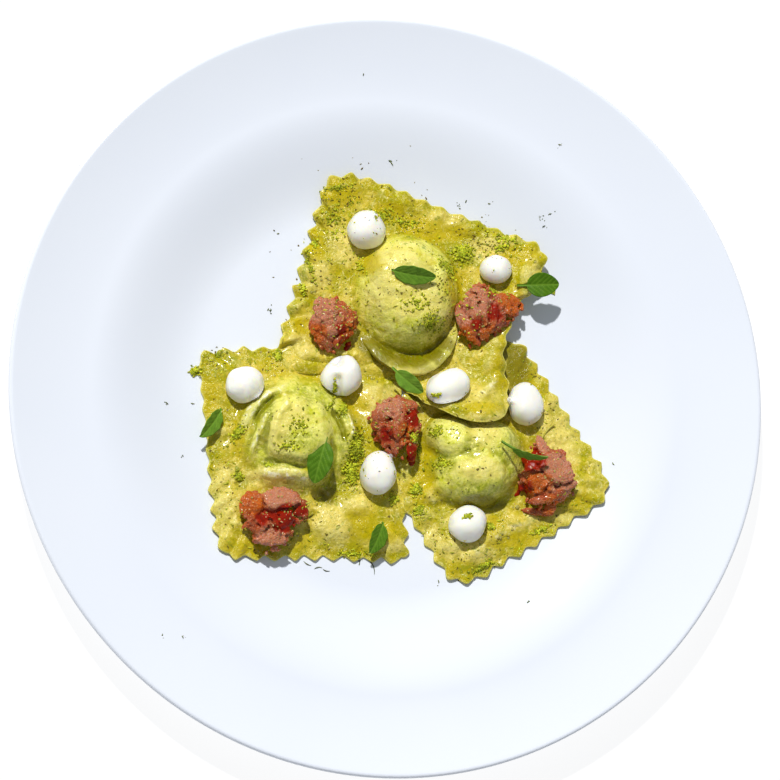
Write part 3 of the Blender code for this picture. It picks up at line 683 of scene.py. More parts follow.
def tartare_finish():
    finish = Finish(
        "tartare", Subsurface_Weight=0.55, Subsurface_Radius=(1.0, 0.35, 0.1), Subsurface_Scale=0.0025,
        Coat_Weight=0.22, Coat_Roughness=0.05, Specular_IOR_Level=0.13, IOR=1.45,
    )
    lay = finish.lay
    hollow, red, pale, amber = finish.painted("hollow red pale amber")
    grain = finish.cells(0.7, ragged=0.6)
    lumps = finish.noise(2.2, 3, 0.6, 0.6)
    fine = finish.noise(0.9, 2, 0.6, moved=0.2)
    finish.colour = finish.mix(finish.step(lumps, 0.35, 0.65), (0.36, 0.060, 0.014), (0.46, 0.13, 0.045))
    drift = finish.step(finish.noise(4, 2, 0.5, 0.0, 0.4), 0.46, 0.62)
    lay(finish.clamp(pale + drift * 0.3) * 0.75, (0.54, 0.235, 0.135))
    lay(amber * 0.8, (0.50, 0.11, 0.006))
    # Painted sparkle: small pale glints on the grains.
    lay(finish.step(grain, 0.34, 0.1) * 0.42, (0.88, 0.54, 0.34))
    # Painted shade in the crevices.
    lay(hollow * 0.9, (0.20, 0.012, 0.003))
    lay(red, finish.mix(lumps, (0.16, 0.003, 0.0005), (0.44, 0.022, 0.003)))
    relief = (1 - grain) * 0.6 + lumps * 0.7 + fine * 0.35
    normal = finish.bump(relief * (1 - 0.7 * red), 0.5)
    rough = 0.06 + 0.14 * lumps
    return finish.feed(Roughness=rough, Normal=normal)


def herb_finish():
    finish = Finish(
        "herb leaf", Subsurface_Weight=0.1, Subsurface_Radius=(0.5, 1.0, 0.1), Subsurface_Scale=0.001,
        Specular_IOR_Level=0.1,
    )
    mix, noise = finish.mix, finish.noise
    vein, under = finish.painted("vein under")
    dark = mix(noise(2.5, 3), (0.035, 0.105, 0.001), (0.07, 0.175, 0.002))
    light = mix(noise(2.5, 3), (0.12, 0.27, 0.025), (0.22, 0.38, 0.04))
    finish.colour = mix(finish.painted("tone"), dark, light)
    finish.lay(vein * 0.45, (0.24, 0.42, 0.04))
    finish.lay(under * 0.5, (0.15, 0.26, 0.05))
    height = finish.cells(0.45) * 0.5 + noise(0.9, 2)
    return finish.feed(
        Roughness=noise(1.5, 2) * 0.2 + 0.4,
        Normal=finish.bump(height, 0.07),
    )


def crumb_finish(name, deep, bright, gloss):
    finish = Finish(name, Subsurface_Weight=0.15, Subsurface_Scale=0.0008, Specular_IOR_Level=0.3)
    noise = finish.noise
    fresh = finish.step(noise(9, 2, 0.5, 0.0, 0.3), 0.4, 0.58)
    finish.colour = finish.mix(finish.painted("tone") * (0.65 + 0.35 * fresh), deep, bright)
    finish.lay(noise(0.5, 2) * 0.3, deep)
    return finish.feed(
        Roughness=noise(0.6, 2) * 0.2 + gloss,
        Normal=finish.bump(noise(0.4, 2), 0.08),
    )


def bead_finish():
    finish = Finish(
        "oil bead", Roughness=0.04, IOR=1.47, Coat_Weight=0.6, Coat_Roughness=0.03, Transmission_Weight=0.6
    )
    finish.colour = finish.mix(finish.noise(3, 2), (0.75, 0.68, 0.10), (0.86, 0.82, 0.30))
    return finish.feed(Normal=finish.bump(finish.noise(1, 1), 0.02))


# ---- numbers and meshes


def ease(share):
    share = np.clip(share, 0.0, 1.0)
    return share * share * (3 - 2 * share)


class Lumps:
    """Smooth random lumps between -1 and 1: a lattice of random values, blended between its points."""

    CELLS = 24

    def __init__(self, seed):
        self.lattice = np.random.default_rng(seed).uniform(-1, 1, (self.CELLS,) * 3)

    def at(self, points, size, octaves=1):
        total = 0.0
        reach = 0.0
        for octave in range(octaves):
            weight = 0.5**octave
            total = total + weight * self.layer(points / size * 2**octave + 5.3 * octave)
            reach += weight
        return total / reach

    def layer(self, points):
        low = np.floor(points).astype(int)
        share = points - low
        share = share * share * (3 - 2 * share)
        total = 0.0
        for corner in range(8):
            offset = np.array([corner >> axis & 1 for axis in range(3)])
            i, j, k = np.moveaxis((low + offset) % self.CELLS, -1, 0)
            weight = np.prod(np.where(offset, share, 1 - share), axis=-1)
            total = total + weight * self.lattice[i, j, k]
        return total


def placed(name, data):
    """An object of its own in the scene."""
    thing = bpy.data.objects.new(name, data)
    bpy.context.scene.collection.objects.link(thing)
    return thing


def new_piece(name, points, faces, finish, node=None, slot=None, paint=None):
    """A closed mesh piece, which rides on the object's one body."""
    mesh = bpy.data.meshes.new(name)
    mesh.from_pydata((np.asarray(points) * MM).tolist(), [], [list(face) for face in faces])
    for key, values in (paint or {}).items():
        layer = mesh.attributes.new(key, "FLOAT", "POINT")
        layer.data.foreach_set("value", np.asarray(values, np.float32))
    mesh.materials.append(finish)
    mesh.shade_smooth()
    mesh.validate()
    piece = placed(name, mesh)
    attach(piece, "root")
    if node:
        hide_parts(node)


def ring_faces(rings, count):
    """Quads between rings of so many points each, turned outwards where the rings start on top."""
    start = np.arange(rings - 1)[:, None] * count
    here = np.arange(count)[None, :]
    ahead = (here + 1) % count
    quads = np.stack([start + here, start + count + here, start + count + ahead, start + ahead], -1)
    return quads.reshape(-1, 4).tolist()


def closed_loft(rings):
    """Points and faces of a body whose rings run from its top's middle round to its bottom's."""
    rings = np.asarray(rings)
    count = rings.shape[1]
    points = np.concatenate([rings.reshape(-1, 3), rings[0].mean(0)[None], rings[-1].mean(0)[None]])
    faces = ring_faces(len(rings), count)
    top = len(points) - 2
    last = (len(rings) - 1) * count
    for i in range(count):
        j = (i + 1) % count
        faces.append([top, i, j])
        faces.append([top + 1, last + j, last + i])
    return points, faces


class Skyline:
    """The upper surface of everything laid down so far."""

    def __init__(self):
        self.trees = []

    def add(self, points, faces):
        self.trees.append(BVHTree.FromPolygons(np.asarray(points).tolist(), faces))

    def hit(self, x, y):
        """The highest point under the sky at a place, and the surface's direction there."""
        best = None
        for tree in self.trees:
            place, direction, _, _ = tree.ray_cast(Vector((x, y, SKY)), Vector((0, 0, -1)))
            if place and (best is None or place.z > best[0].z):
                best = (place, direction)
        return best

    def height(self, x, y):
        found = self.hit(x, y)
        return found[0].z if found else 0.0

    def heights(self, xs, ys):
        return np.vectorize(self.height, otypes=[float])(xs, ys)

    def smoothed(self, xs, ys, reach=3.5):
        """Heights without small steps: the mean of a place and six round it, and never below the place."""
        here = self.heights(xs, ys)
        turns = [tau * i / 6 for i in range(6)]
        around = sum(self.heights(xs + reach * cos(t), ys + reach * sin(t)) for t in turns)
        return np.maximum((around + here) / 7, here)


# ---- plate


def plate_top(radius):
    slope = ease((radius - FLOOR_RADIUS) / (SLOPE_END - FLOOR_RADIUS))
    rim = np.clip((radius - SLOPE_END) / (PLATE_RADIUS - SLOPE_END), 0, None)
    return FLOOR_TOP + SLOPE_RISE * slope + RIM_RISE * rim**RIM_CURVE


def plate_rings():
    """The plate's section as rings from the middle of its floor round the rim to its underside."""
    radii = np.linspace(1, PLATE_RADIUS - RIM_ROUND, 110)
    section = [(radius, plate_top(radius)) for radius in radii]
    crest = plate_top(PLATE_RADIUS)
    for turn in np.linspace(60, -80, 9):
        out = PLATE_RADIUS - RIM_ROUND * (1 - cos(radians(turn)))
        section.append((out, crest - RIM_ROUND * (1 - sin(radians(turn)))))
    radii = np.linspace(PLATE_RADIUS - 2 * RIM_ROUND, FOOT_RADIUS + 1.5, 40)
    section += [(radius, plate_top(radius) - PLATE_WALL) for radius in radii]
    recess = FLOOR_TOP - PLATE_WALL
    inside = FOOT_RADIUS - FOOT_WIDTH
    section += [(FOOT_RADIUS + 0.4, recess * 0.7), (FOOT_RADIUS, recess * 0.3), (FOOT_RADIUS - 0.5, 0)]
    section += [(FOOT_RADIUS - 1.2, 0), (inside + 0.8, 0), (inside, 0), (inside - 0.6, recess * 0.4)]
    section += [(inside - 1, recess * 0.8), (inside - 2, recess)]
    section += [(radius, recess) for radius in (60, 40, 20, 2)]
    turn = np.arange(PLATE_SIDES) * tau / PLATE_SIDES
    return [np.c_[r * np.cos(turn), r * np.sin(turn), np.full(PLATE_SIDES, z)] for r, z in section]


# ---- pasta


def rounded(corners):
    """An outline with its corners rounded, running counterclockwise."""
    points = []
    for i, (x, y, rounding) in enumerate(corners):
        here = np.array((x, y), float)
        before = np.array(corners[i - 1][:2]) - here
        after = np.array(corners[(i + 1) % len(corners)][:2]) - here
        start = here + before / np.linalg.norm(before) * min(rounding, np.linalg.norm(before) / 2)
        end = here + after / np.linalg.norm(after) * min(rounding, np.linalg.norm(after) / 2)
        for share in np.linspace(0, 1, 7):
            points.append((1 - share) ** 2 * start + 2 * share * (1 - share) * here + share**2 * end)
    points = np.array(points)
    x, y = points.T
    turns_right = (x * np.roll(y, -1) - y * np.roll(x, -1)).sum() < 0
    return points[::-1] if turns_right else points


def along(outline, count, smooth=0):
    """Points at equal steps along a closed outline, with the outward direction at each, and its length."""
    loop = np.concatenate([outline, outline[:1]])
    lengths = np.concatenate([[0], np.cumsum(np.linalg.norm(np.diff(loop, axis=0), axis=1))])
    wanted = np.arange(count) * lengths[-1] / count
    points = np.c_[np.interp(wanted, lengths, loop[:, 0]), np.interp(wanted, lengths, loop[:, 1])]
    for _ in range(smooth):
        points = (points + np.roll(points, 1, 0) + np.roll(points, -1, 0)) / 3
    span = max(1, count // 200)
    ahead = np.roll(points, -span, 0) - np.roll(points, span, 0)
    ahead /= np.linalg.norm(ahead, axis=1)[:, None]
    return points, np.c_[ahead[:, 1], -ahead[:, 0]], lengths[-1]


def between(values, place):
    """A closed row of values read at places between them: half way from a curve to straight lines."""
    low = np.floor(place).astype(int)
    t = place - low
    a, b, c, d = (values[(low + i) % len(values)] for i in (-1, 0, 1, 2))
    curve = b + 0.5 * t * (c - a + t * (2 * a - 5 * b + 4 * c - d + t * (3 * (b - c) + d - a)))
    return (curve + b + (c - b) * t) / 2


def way_out(oval, x, y):
    """How far out a place is in an oval: 0 at its middle and 1 at its outline."""
    return np.hypot((x - oval[0]) / oval[2], (y - oval[1]) / oval[3])


def bulge(dome, x, y, full, spread=FOOT_SPREAD):
    """A mound's height, which eases into the sheet around it."""
    rho = way_out(dome, x, y) / spread
    return dome[4] * 0.5 * (1 + np.cos(pi * np.clip(rho, 0, 1) ** full))


def stroke_height(stroke, x, y):
    """A crease or a fold along a line, fading at both ends."""
    width, depth, line = stroke
    points = np.array(line, float)
    steps = np.diff(points, axis=0)
    lengths = np.linalg.norm(steps, axis=1)
    best = np.full(x.shape, 1e9)
    share = np.zeros(x.shape)
    run = 0.0
    for start, step, length in zip(points, steps, lengths):
        t = np.clip(((x - start[0]) * step[0] + (y - start[1]) * step[1]) / length**2, 0, 1)
        away = np.hypot(x - start[0] - t * step[0], y - start[1] - t * step[1])
        nearer = away < best
        best = np.where(nearer, away, best)
        share = np.where(nearer, (run + t * length) / lengths.sum(), share)
        run += length
    fade = ease(share * 4) * ease((1 - share) * 4)
    return depth * np.exp(-((best / width) ** 2)) * (0.15 + 0.85 * fade)


def inside(xs, ys, outline):
    found = np.zeros(xs.shape, bool)
    for a, b in zip(outline, np.roll(outline, -1, 0)):
        spans = (a[1] > ys) != (b[1] > ys)
        run = (b[1] - a[1]) or 1e-9
        found ^= spans & (xs < a[0] + (b[0] - a[0]) * (ys - a[1]) / run)
    return found


def widened(field, cells):
    found = field.copy()
    for i in range(-cells, cells + 1):
        for j in range(-cells, cells + 1):
            if i * i + j * j <= cells * cells:
                found = np.maximum(found, np.roll(field, (i, j), (0, 1)))
    return found


class Drape:
    """A limp sheet let down on the skyline: the heights of its underside on a square grid."""

    def __init__(self, skyline, outline):
        margin = 4 * GRID + REACH
        self.low = outline.min(0) - margin
        high = outline.max(0) + margin
        columns, rows = np.ceil((high - self.low) / GRID).astype(int)
        xs, ys = np.meshgrid(self.low[0] + GRID * np.arange(columns), self.low[1] + GRID * np.arange(rows))
        ground = widened(skyline.heights(xs, ys), round(REACH / GRID)) + GAP
        sheet = widened(inside(xs, ys, outline).astype(float), round(REACH / GRID))
        ground = np.where(sheet > 0, ground, 0.0)
        heights = np.full(ground.shape, ground.max())
        shifts = ((1, 0), (-1, 0), (0, 1), (0, -1))
        weight = sum(np.roll(sheet, shift, (0, 1)) for shift in shifts)
        for _ in range(DRAPE_STEPS):
            total = sum(np.roll(heights * sheet, shift, (0, 1)) for shift in shifts)
            hung = np.where(weight > 0, total / np.maximum(weight, 1), heights)
            heights = np.maximum(ground, hung - SAG)
        self.heights = heights

    def at(self, x, y):
        column = (x - self.low[0]) / GRID
        row = (y - self.low[1]) / GRID
        i = np.floor(row).astype(int)
        j = np.floor(column).astype(int)

        def weights(t):
            return (
                0.5 * t * (-1 + t * (2 - t)),
                1 + 0.5 * t * t * (-5 + 3 * t),
                0.5 * t * (1 + t * (4 - 3 * t)),
                0.5 * t * t * (t - 1),
            )

        total = 0.0
        for a, down in enumerate(weights(row - i)):
            for b, across in enumerate(weights(column - j)):
                total = total + down * across * self.heights[i + a - 1, j + b - 1]
        return total


class Pasta:
    """One raviolo's two surfaces, as heights over a place."""

    def __init__(self, raviolo, skyline):
        self.raviolo = raviolo
        self.outline = rounded(raviolo.corners)
        self.drape = Drape(skyline, self.outline)

    def under(self, x, y):
        lift = self.drape.at(x, y)
        for middle_x, middle_y, radius, height in self.raviolo.curls:
            lift = lift + height * np.exp(-((np.hypot(x - middle_x, y - middle_y) / radius) ** 2))
        seed = self.raviolo.seed
        ring = self.raviolo.ring
        away = np.hypot(x - ring.x, y - ring.y) - ring.rx
        wave = np.sin((x + seed) * tau / RIPPLE_LENGTH) * np.cos((y - seed) * tau / RIPPLE_LENGTH)
        return lift + RIPPLE * (1 + wave) / 2 * ease(away / RIPPLE_ROOM)

    def filling(self, x, y):
        blend = self.raviolo.blend
        full = self.raviolo.full
        return sum(bulge(dome, x, y, full) ** blend for dome in self.raviolo.domes) ** (1 / blend)

    def lip(self, x, y):
        """The pressed lip round the mound: a broad, nearly level band with a steep outer foot."""
        share = way_out(self.raviolo.ring, x, y)
        rise = ease((share - LIP_RISE[0]) / (LIP_RISE[1] - LIP_RISE[0]))
        fall = ease((share - LIP_FALL[0]) / (LIP_FALL[1] - LIP_FALL[0]))
        return self.raviolo.lip * rise * (1 - fall) * self.lip_share(x, y)

    def lip_share(self, x, y):
        ring = self.raviolo.ring
        turn = np.degrees(np.arctan2(y - ring.y, x - ring.x))
        apart = np.abs((turn - self.raviolo.lip_towards + 180) % 360 - 180)
        return ease((self.raviolo.lip_spread - apart) / LIP_FADE + 0.5)

    def top(self, x, y):
        lift = (self.filling(x, y) ** BLEND + self.lip(x, y) ** BLEND + 1e-9) ** (1 / BLEND)
        for mound in self.raviolo.bumps:
            lift = lift + bulge(mound, x, y, 1.6, 1.2)
        return self.under(x, y) + SHEET + np.maximum(lift + self.folds(x, y), -1.0)

    def folds(self, x, y):
        return sum(stroke_height(stroke, x, y) for stroke in self.raviolo.strokes)

    def plain_share(self, x, y):
        """How much of the teeth is gone at a place."""
        share = np.zeros_like(x)
        for place in self.raviolo.plain:
            own = place[4] * (1 - ease((way_out(place, x, y) - 0.7) / 0.5))
            share = np.maximum(share, own) if place[4] > 0 else share + own
        return share

    def stain_and_light_share(self, kind, x, y, wander):
        """How much a stain or a patch of painted light or shade covers a place, 0 to 1, with its edges moved
        by a wandering share.
        """
        share = np.zeros_like(x)
        for stain in self.raviolo.stains[kind]:
            share = np.maximum(share, 1 - ease((way_out(stain, x, y) + wander - 0.6) / 0.8))
        return share

    def pool(self, x, y, reach):
        """How far a place lies below those around it: oil gathers there, and the finish paints such places
        darker, on the mounds as shade.
        """
        turns = np.arange(8) * tau / 8
        around = sum(self.top(x + reach * cos(turn), y + reach * sin(turn)) for turn in turns)
        return around / 8 - self.top(x, y)


def build_pasta(raviolo, skyline, finish):
    pasta = Pasta(raviolo, skyline)
    ring = raviolo.ring
    centre = np.array((ring.x, ring.y))
    smooth, outward, length = along(pasta.outline, SPOKES, 4)

    # The teeth: notch, tip, notch, tip and so on, each a little different.
    dice = random.Random(raviolo.seed)
    count = 2 * round(length / TOOTH_PITCH)
    depths = np.zeros(count)
    slips = np.zeros(count)
    for i in range(count):
        depth = TOOTH_DEPTH * raviolo.teeth * (i % 2 - 0.5)
        depths[i] = depth * (1 + dice.uniform(-1, 1) * TOOTH_UNEVEN * 2)
        slips[i] = TOOTH_PITCH * dice.uniform(-1, 1) * TOOTH_UNEVEN / 2
    place = np.arange(SPOKES) * count / SPOKES
    plain = pasta.plain_share(smooth[:, 0], smooth[:, 1])
    keep = 1 - np.minimum(plain / TEETH_GONE, 1)
    tooth = between(depths, place) * keep
    slip = between(slips, place) * keep
    tangent = np.c_[-outward[:, 1], outward[:, 0]]
    edge = smooth + outward * tooth[:, None] + tangent * slip[:, None]

    way = smooth - centre
    away = np.linalg.norm(way, axis=1)
    way /= away[:, None]
    reach = 1 / np.hypot(way[:, 0] / ring.rx, way[:, 1] / ring.ry)
    half = MOUND_RINGS // 2
    shares = np.concatenate([np.linspace(0.03, 0.62, half), np.linspace(0.635, 1.0, half)])
    flat = [centre + way * (reach * share)[:, None] for share in shares]
    foot = flat[-1]
    for share in np.linspace(0, 1, SHEET_RINGS + 1)[1:]:
        eased = ease((share - 0.6) / 0.4)
        flat.append(foot + (smooth - foot) * share + (edge - smooth) * eased)
    flat = np.array(flat)
    x = flat[..., 0]
    y = flat[..., 1]
    z = pasta.top(x, y)

    # The sheet's edge: crimped by the wheel, and rounded down to the cut.
    room = np.linalg.norm(flat - edge[None], axis=-1)
    sheet_part = np.arange(len(flat))[:, None] >= len(shares)
    near = np.where(sheet_part, np.clip(1 - room / CRIMP_REACH, 0, 1), 0.0)
    wave = tooth / (TOOTH_DEPTH * raviolo.teeth / 2)
    z = z + CRIMP * wave[None] * near * keep[None]
    z = z - EDGE_DROP * np.clip(1 - room / EDGE_DROP_REACH, 0, 1) ** 2

    # The sheet thins towards its edge, where it settles or, without teeth, melts into what is below it.
    z = z - EDGE_THINNER * np.where(sheet_part, ease(1 - room / EDGE_REACH), 0.0)
    melts = ease((plain - TEETH_GONE) / (1 - TEETH_GONE))
    settles = np.maximum(melts, raviolo.settle)
    melt = settles[None] * np.where(sheet_part, ease(1 - room / MELT_REACH), 0.0)
    moved = melt > 0
    ground = np.zeros_like(z)
    ground[moved] = skyline.smoothed(x[moved], y[moved])
    thick = SETTLED + (MELTED - SETTLED) * melts[None] + CRIMP * wave[None] * near * keep[None] / 2
    z = z + (ground + thick - z) * melt

    # The lip leans out over its foot.
    lean = pasta.lip_share(x, y) * min(raviolo.lip, 1)
    share = way_out(ring, x, y)
    outer, inner = (by * np.exp(-(((share - at) / width) ** 2)) for by, at, width in (LIP_OUT, LIP_IN))
    shift = outer - inner
    x = x + shift * lean * way[None, :, 0]
    y = y + shift * lean * way[None, :, 1]

    # Uneven skin.
    lumps = Lumps(raviolo.seed)
    points = np.stack([x, y, z], -1)
    rough = sum(lumps.at(points, size, octaves) * by for size, by, octaves in SKIN)
    steep = np.gradient(points, axis=0)
    across = np.roll(points, -1, 1) - np.roll(points, 1, 1)
    normal = np.cross(steep, across)
    normal /= np.maximum(np.linalg.norm(normal, axis=-1), 1e-9)[..., None]
    skin = points + normal * (rough * np.clip(room / 1.5, 0.25, 1))[..., None]

    # Round the cut edge and back under.
    lower = pasta.under(edge[:, 0], edge[:, 1])
    lower = lower + (ground[-1] + np.where(melts > 0.5, MELTED - 0.4, -0.1) - lower) * melt[-1]
    top_edge = skin[-1]
    rings = list(skin)
    bare = 1 - melts
    paint_cut = [np.zeros(SPOKES)] * (len(rings) - 1) + [0.6 * bare]
    for turn in np.linspace(0, 1, EDGE_RINGS + 2)[1:]:
        out = CUT_BULGE * sin(pi * turn)
        height = top_edge[:, 2] + (lower - top_edge[:, 2]) * (1 - cos(pi * turn)) / 2
        spot = edge + outward * out
        rings.append(np.c_[spot, height])
        paint_cut.append(bare if turn < 0.8 else 0.3 * bare)
    for share in np.linspace(1, 0.03, UNDER_RINGS + 1)[1:]:
        spot = centre + (edge - centre) * share
        rings.append(np.c_[spot, pasta.under(spot[:, 0], spot[:, 1])])
        paint_cut.append(np.zeros(SPOKES))
    points, faces = closed_loft(rings)

    total = len(points)

    def spread(values):
        return np.concatenate([np.ravel(values), np.zeros(total - np.size(values))])

    over = (flat[..., 0], flat[..., 1])
    mound = np.clip((pasta.filling(*over) + pasta.lip(*over)) / 5.0, 0, 1)
    pool = np.clip(pasta.pool(*over, POOL_REACH) / 0.35, -1, 1)
    pool = np.clip(pool - 0.9 * lumps.at(skin, 4.2), -1, 1)
    close = np.clip(1 - room / 9, 0, 1) * sheet_part
    wander = 0.35 * lumps.at(skin, 5.0, 2)
    fold = np.clip(pasta.folds(*over) / 2, -1, 1)
    paint = {"mound": mound, "pool": pool, "edge": close, "fold": fold}
    # The stains: oil and starch, with deep ones painted shade and some pale and green ones painted light and
    # shade.
    paint |= {kind: pasta.stain_and_light_share(kind, *over, wander) for kind in ("oil", "deep", "pale", "green")}
    paint = {key: spread(values) for key, values in paint.items()}
    for key in paint:
        paint[key][-2] = paint[key][0]
    paint["cut"] = spread(np.array(paint_cut))
    new_piece(raviolo.name.replace("raviolo", "pasta"), points, faces, finish, raviolo.name, "pasta", paint)
    skyline.add(points, faces)


# ---- toppings


def turned(x, y, by):
    turn = radians(by)
    return x * cos(turn) - y * sin(turn), x * sin(turn) + y * cos(turn)


def build_cream(number, dot, skyline, finish):
    """A squeezed dot: round above, widest low down, and sitting in what is below it."""
    lumps = Lumps(100 + number)
    rises = 0.5 + 0.5 * np.cos(np.linspace(0.05, pi - 0.05, CREAM_RINGS))
    turn = np.arange(CREAM_SEGMENTS) * tau / CREAM_SEGMENTS
    rise, turn = np.meshgrid(rises, turn, indexing="ij")
    round_out = np.sqrt(np.clip(1 - (2 * rise - 1) ** 2, 0, 1)) / 2
    u = round_out * np.cos(turn)
    v = round_out * np.sin(turn)
    x, y = turned(u * dot.long, v * dot.wide, dot.turn)
    x = x + dot.x
    y = y + dot.y
    floor = skyline.heights(x, y)
    middle = skyline.height(dot.x, dot.y)
    level = np.median(floor[rise < 0.55])
    hem = CREAM_HEM * dot.height
    crown = max(middle, level) + dot.height
    upper = level + hem + (crown - level - hem) * np.clip(2 * rise - 1, 0, 1)
    settle = ease((0.85 - rise) / 0.6)
    upper = upper + (floor - level) * settle
    lower = floor - 0.25 + (hem + 0.25) * np.clip(2 * rise, 0, 1) ** 2
    z = np.where(rise < 0.5, lower, upper)
    swell = 0.0
    for mark in dot.marks:
        length, across = turned(x - mark.x, y - mark.y, -mark.turn)
        share = np.exp(-((across / mark.wide) ** 2)) * ease((mark.long / 2 - np.abs(length)) / mark.wide / 2)
        swell = swell + mark.height * share * ease((rise - 0.3) / 0.15)
    points = np.stack([x, y, z], -1)
    out = points - np.array([dot.x, dot.y, level + hem])
    out /= np.linalg.norm(out, axis=-1)[..., None]
    sway = lumps.at(points, 6.0, 2) * CREAM_UNEVEN * ease(rise / 0.3)
    points = points + out * (sway + swell)[..., None]
    points, faces = closed_loft(points)
    new_piece(f"cream_dot_{number}", points, faces, finish, f"cream_{number}", "cream")
    skyline.add(points, faces)


class HeapShape:
    """A spoonful's outer form, and the lumps that fill it."""

    def __init__(self, heap, skyline, seed):
        self.heap = heap
        self.skyline = skyline
        self.dice = random.Random(seed)
        self.middle = skyline.height(heap.x, heap.y)
        self.shape = bmesh.new()

    def reach(self, turn):
        heap = self.heap
        own = turn - radians(heap.turn)
        reach = 0.5 / hypot(cos(own) / heap.long, sin(own) / heap.wide)
        for towards, extra in heap.lobes:
            apart = (degrees(turn) - towards + 180) % 360 - 180
            reach += extra * exp(-((apart / LOBE_SPREAD) ** 2))
        return reach

    def crown(self, x, y):
        """The heap's upper surface at a place."""
        across, up = x - self.heap.x, y - self.heap.y
        share = min(1.0, hypot(across, up) / self.reach(atan2(up, across)))
        dome = sqrt(1 - share**HEAP_PROFILE) * 0.93 - 0.03
        return max(self.middle + self.heap.height * dome, self.skyline.height(x, y) + 0.4)

    def up(self, x, y, step=1.0):
        """The direction out of the upper surface, made less steep."""
        east = self.crown(x + step, y) - self.crown(x - step, y)
        north = self.crown(x, y + step) - self.crown(x, y - step)
        return Vector((-east * 0.4, -north * 0.4, 2 * step)).normalized()

    def place(self, most, power=0.5):
        """A random place in the outline, up to a share of the way out."""
        turn = self.dice.uniform(0, tau)
        out = self.reach(turn) * self.dice.random() ** power * most
        return self.heap.x + out * cos(turn), self.heap.y + out * sin(turn)

    def in_red(self, x, y):
        return any(hypot(x - a, y - b) < radius for a, b, radius in self.heap.patches["red"])

    def lump(self, centre, sizes, turn, rough, facets=2):
        made = bmesh.ops.create_icosphere(self.shape, subdivisions=facets, radius=1.0)["verts"]
        for vertex in made:
            place = vertex.co * (1 + rough * self.dice.uniform(-1, 1))
            vertex.co = turn @ Vector([a * b for a, b in zip(place, sizes)]) + centre

    def lean(self, x, y, loose, turn=None, tip=0.0):
        """A frame on the upper surface, tipped at random, and turned any way where no turn is given."""
        dice = self.dice
        up = self.up(x, y) + Vector([dice.uniform(-loose, loose) for _ in range(3)])
        way = dice.uniform(0, tau) if turn is None else radians(turn)
        side = Vector((cos(way), sin(way), 0)).cross(up).normalized()
        along_it = up.cross(side).normalized()
        frame = Matrix((along_it, -side, up.normalized())).transposed()
        return frame @ Matrix.Rotation(radians(tip), 3, "X")

    def press(self, x, y, sunk, sizes, loose, rough, turn=None, tip=0.0, facets=2):
        """A lump that lies along the upper surface, and is sunk in it."""
        centre = Vector((x, y, self.crown(x, y) - sunk))
        self.lump(centre, sizes, self.lean(x, y, loose, turn, tip), rough, facets)

    def fill(self):
        dice = self.dice
        for _ in range(CORES):
            x, y = self.place(0.62)
            low = self.skyline.height(x, y)
            top = self.crown(x, y) - 1.6
            for share in (0.15, 0.45, 0.75):
                self.lump(Vector((x, y, low + (top - low) * share)), (3.0, 3.0, 2.4), Matrix.Identity(3), 0.1)
        for middle_x, middle_y, radius in self.heap.patches["red"]:
            for _ in range(5):
                x = middle_x + dice.gauss(0, radius / 3)
                y = middle_y + dice.gauss(0, radius / 3)
                size = radius * dice.uniform(0.5, 0.75)
                self.press(x, y, size * 0.95, (size, size * 0.8, size * 0.8), 0.6, 0.06)
        for flake in map(Flake._make, self.heap.flakes):
            sizes = (flake.long / 2, flake.wide / 2, FLAKE_THICK / 2)
            sunk = FLAKE_THICK / 2 - flake.lift
            self.press(flake.x, flake.y, sunk, sizes, 0.05, 0.14, flake.turn, flake.tip, 3)
        for _ in range(BITS):
            x, y = self.place(0.88)
            if self.in_red(x, y):
                continue
            size = dice.uniform(*BIT_SIZE)
            sunk = dice.uniform(0.5, 1.3)
            sizes = (size, size * dice.uniform(0.5, 0.85), size * BIT_FLAT * dice.uniform(0.7, 1.3))
            self.press(x, y, sunk, sizes, 0.6, 0.25)
        for _ in range(GRAINS):
            x, y = self.place(0.97)
            if self.in_red(x, y) and dice.random() < 0.8:
                continue
            size = dice.uniform(*GRAIN_SIZE)
            self.press(x, y, size * dice.uniform(0.1, 0.7), (size * 1.3, size, size * 0.8), 0.8, 0.25)

    def joined(self):
        """All the lumps as one skin: its points, faces, point directions and edges."""
        mesh = bpy.data.meshes.new("heap")
        self.shape.to_mesh(mesh)
        self.shape.free()
        draft = placed("heap", mesh)
        remesh = draft.modifiers.new("joined", "REMESH")
        remesh.mode = "VOXEL"
        remesh.voxel_size = HEAP_VOXEL
        skin = bpy.data.meshes.new_from_object(draft.evaluated_get(bpy.context.evaluated_depsgraph_get()))
        bpy.data.objects.remove(draft)
        points = np.array([vertex.co for vertex in skin.vertices])
        faces = [list(face.vertices) for face in skin.polygons]
        directions = np.array([vertex.normal for vertex in skin.vertices])
        links = np.array([edge.vertices for edge in skin.edges])
        bpy.data.meshes.remove(skin)
        return points, faces, directions, links


def build_heap(number, heap, skyline, finish):
    """A spoonful of chopped tartare: flakes and grains pressed together over smooth red pieces."""
    form = HeapShape(heap, skyline, 200 + number)
    form.fill()
    points, faces, directions, links = form.joined()
    soft = relaxed(points, links, 1)
    broad = relaxed(soft, links, 30)
    # How deep a point lies in a crevice, which the finish paints darker as shade.
    hollow = np.clip(-((soft - broad) * directions).sum(1) / 0.35, 0, 1)
    lumps = Lumps(300 + number)
    paint = {"hollow": hollow}
    for kind in ("red", "pale", "amber"):
        share = np.zeros(len(points))
        for x, y, radius in heap.patches[kind]:
            away = np.hypot(soft[:, 0] - x, soft[:, 1] - y) + lumps.at(soft, 2.5) * 1.4
            share = np.maximum(share, ease((radius - away) / 1.6 + 0.5))
        paint[kind] = share
    rough = lumps.at(soft, 1.2, 2) * 0.26 + lumps.at(soft, 0.55) * 0.12
    points = soft + directions * (rough * (1 - 0.8 * paint["red"]))[:, None]
    new_piece(f"tartare_heap_{number}", points, faces, finish, f"tartare_{number}", "tartare", paint)
    skyline.add(points, faces)


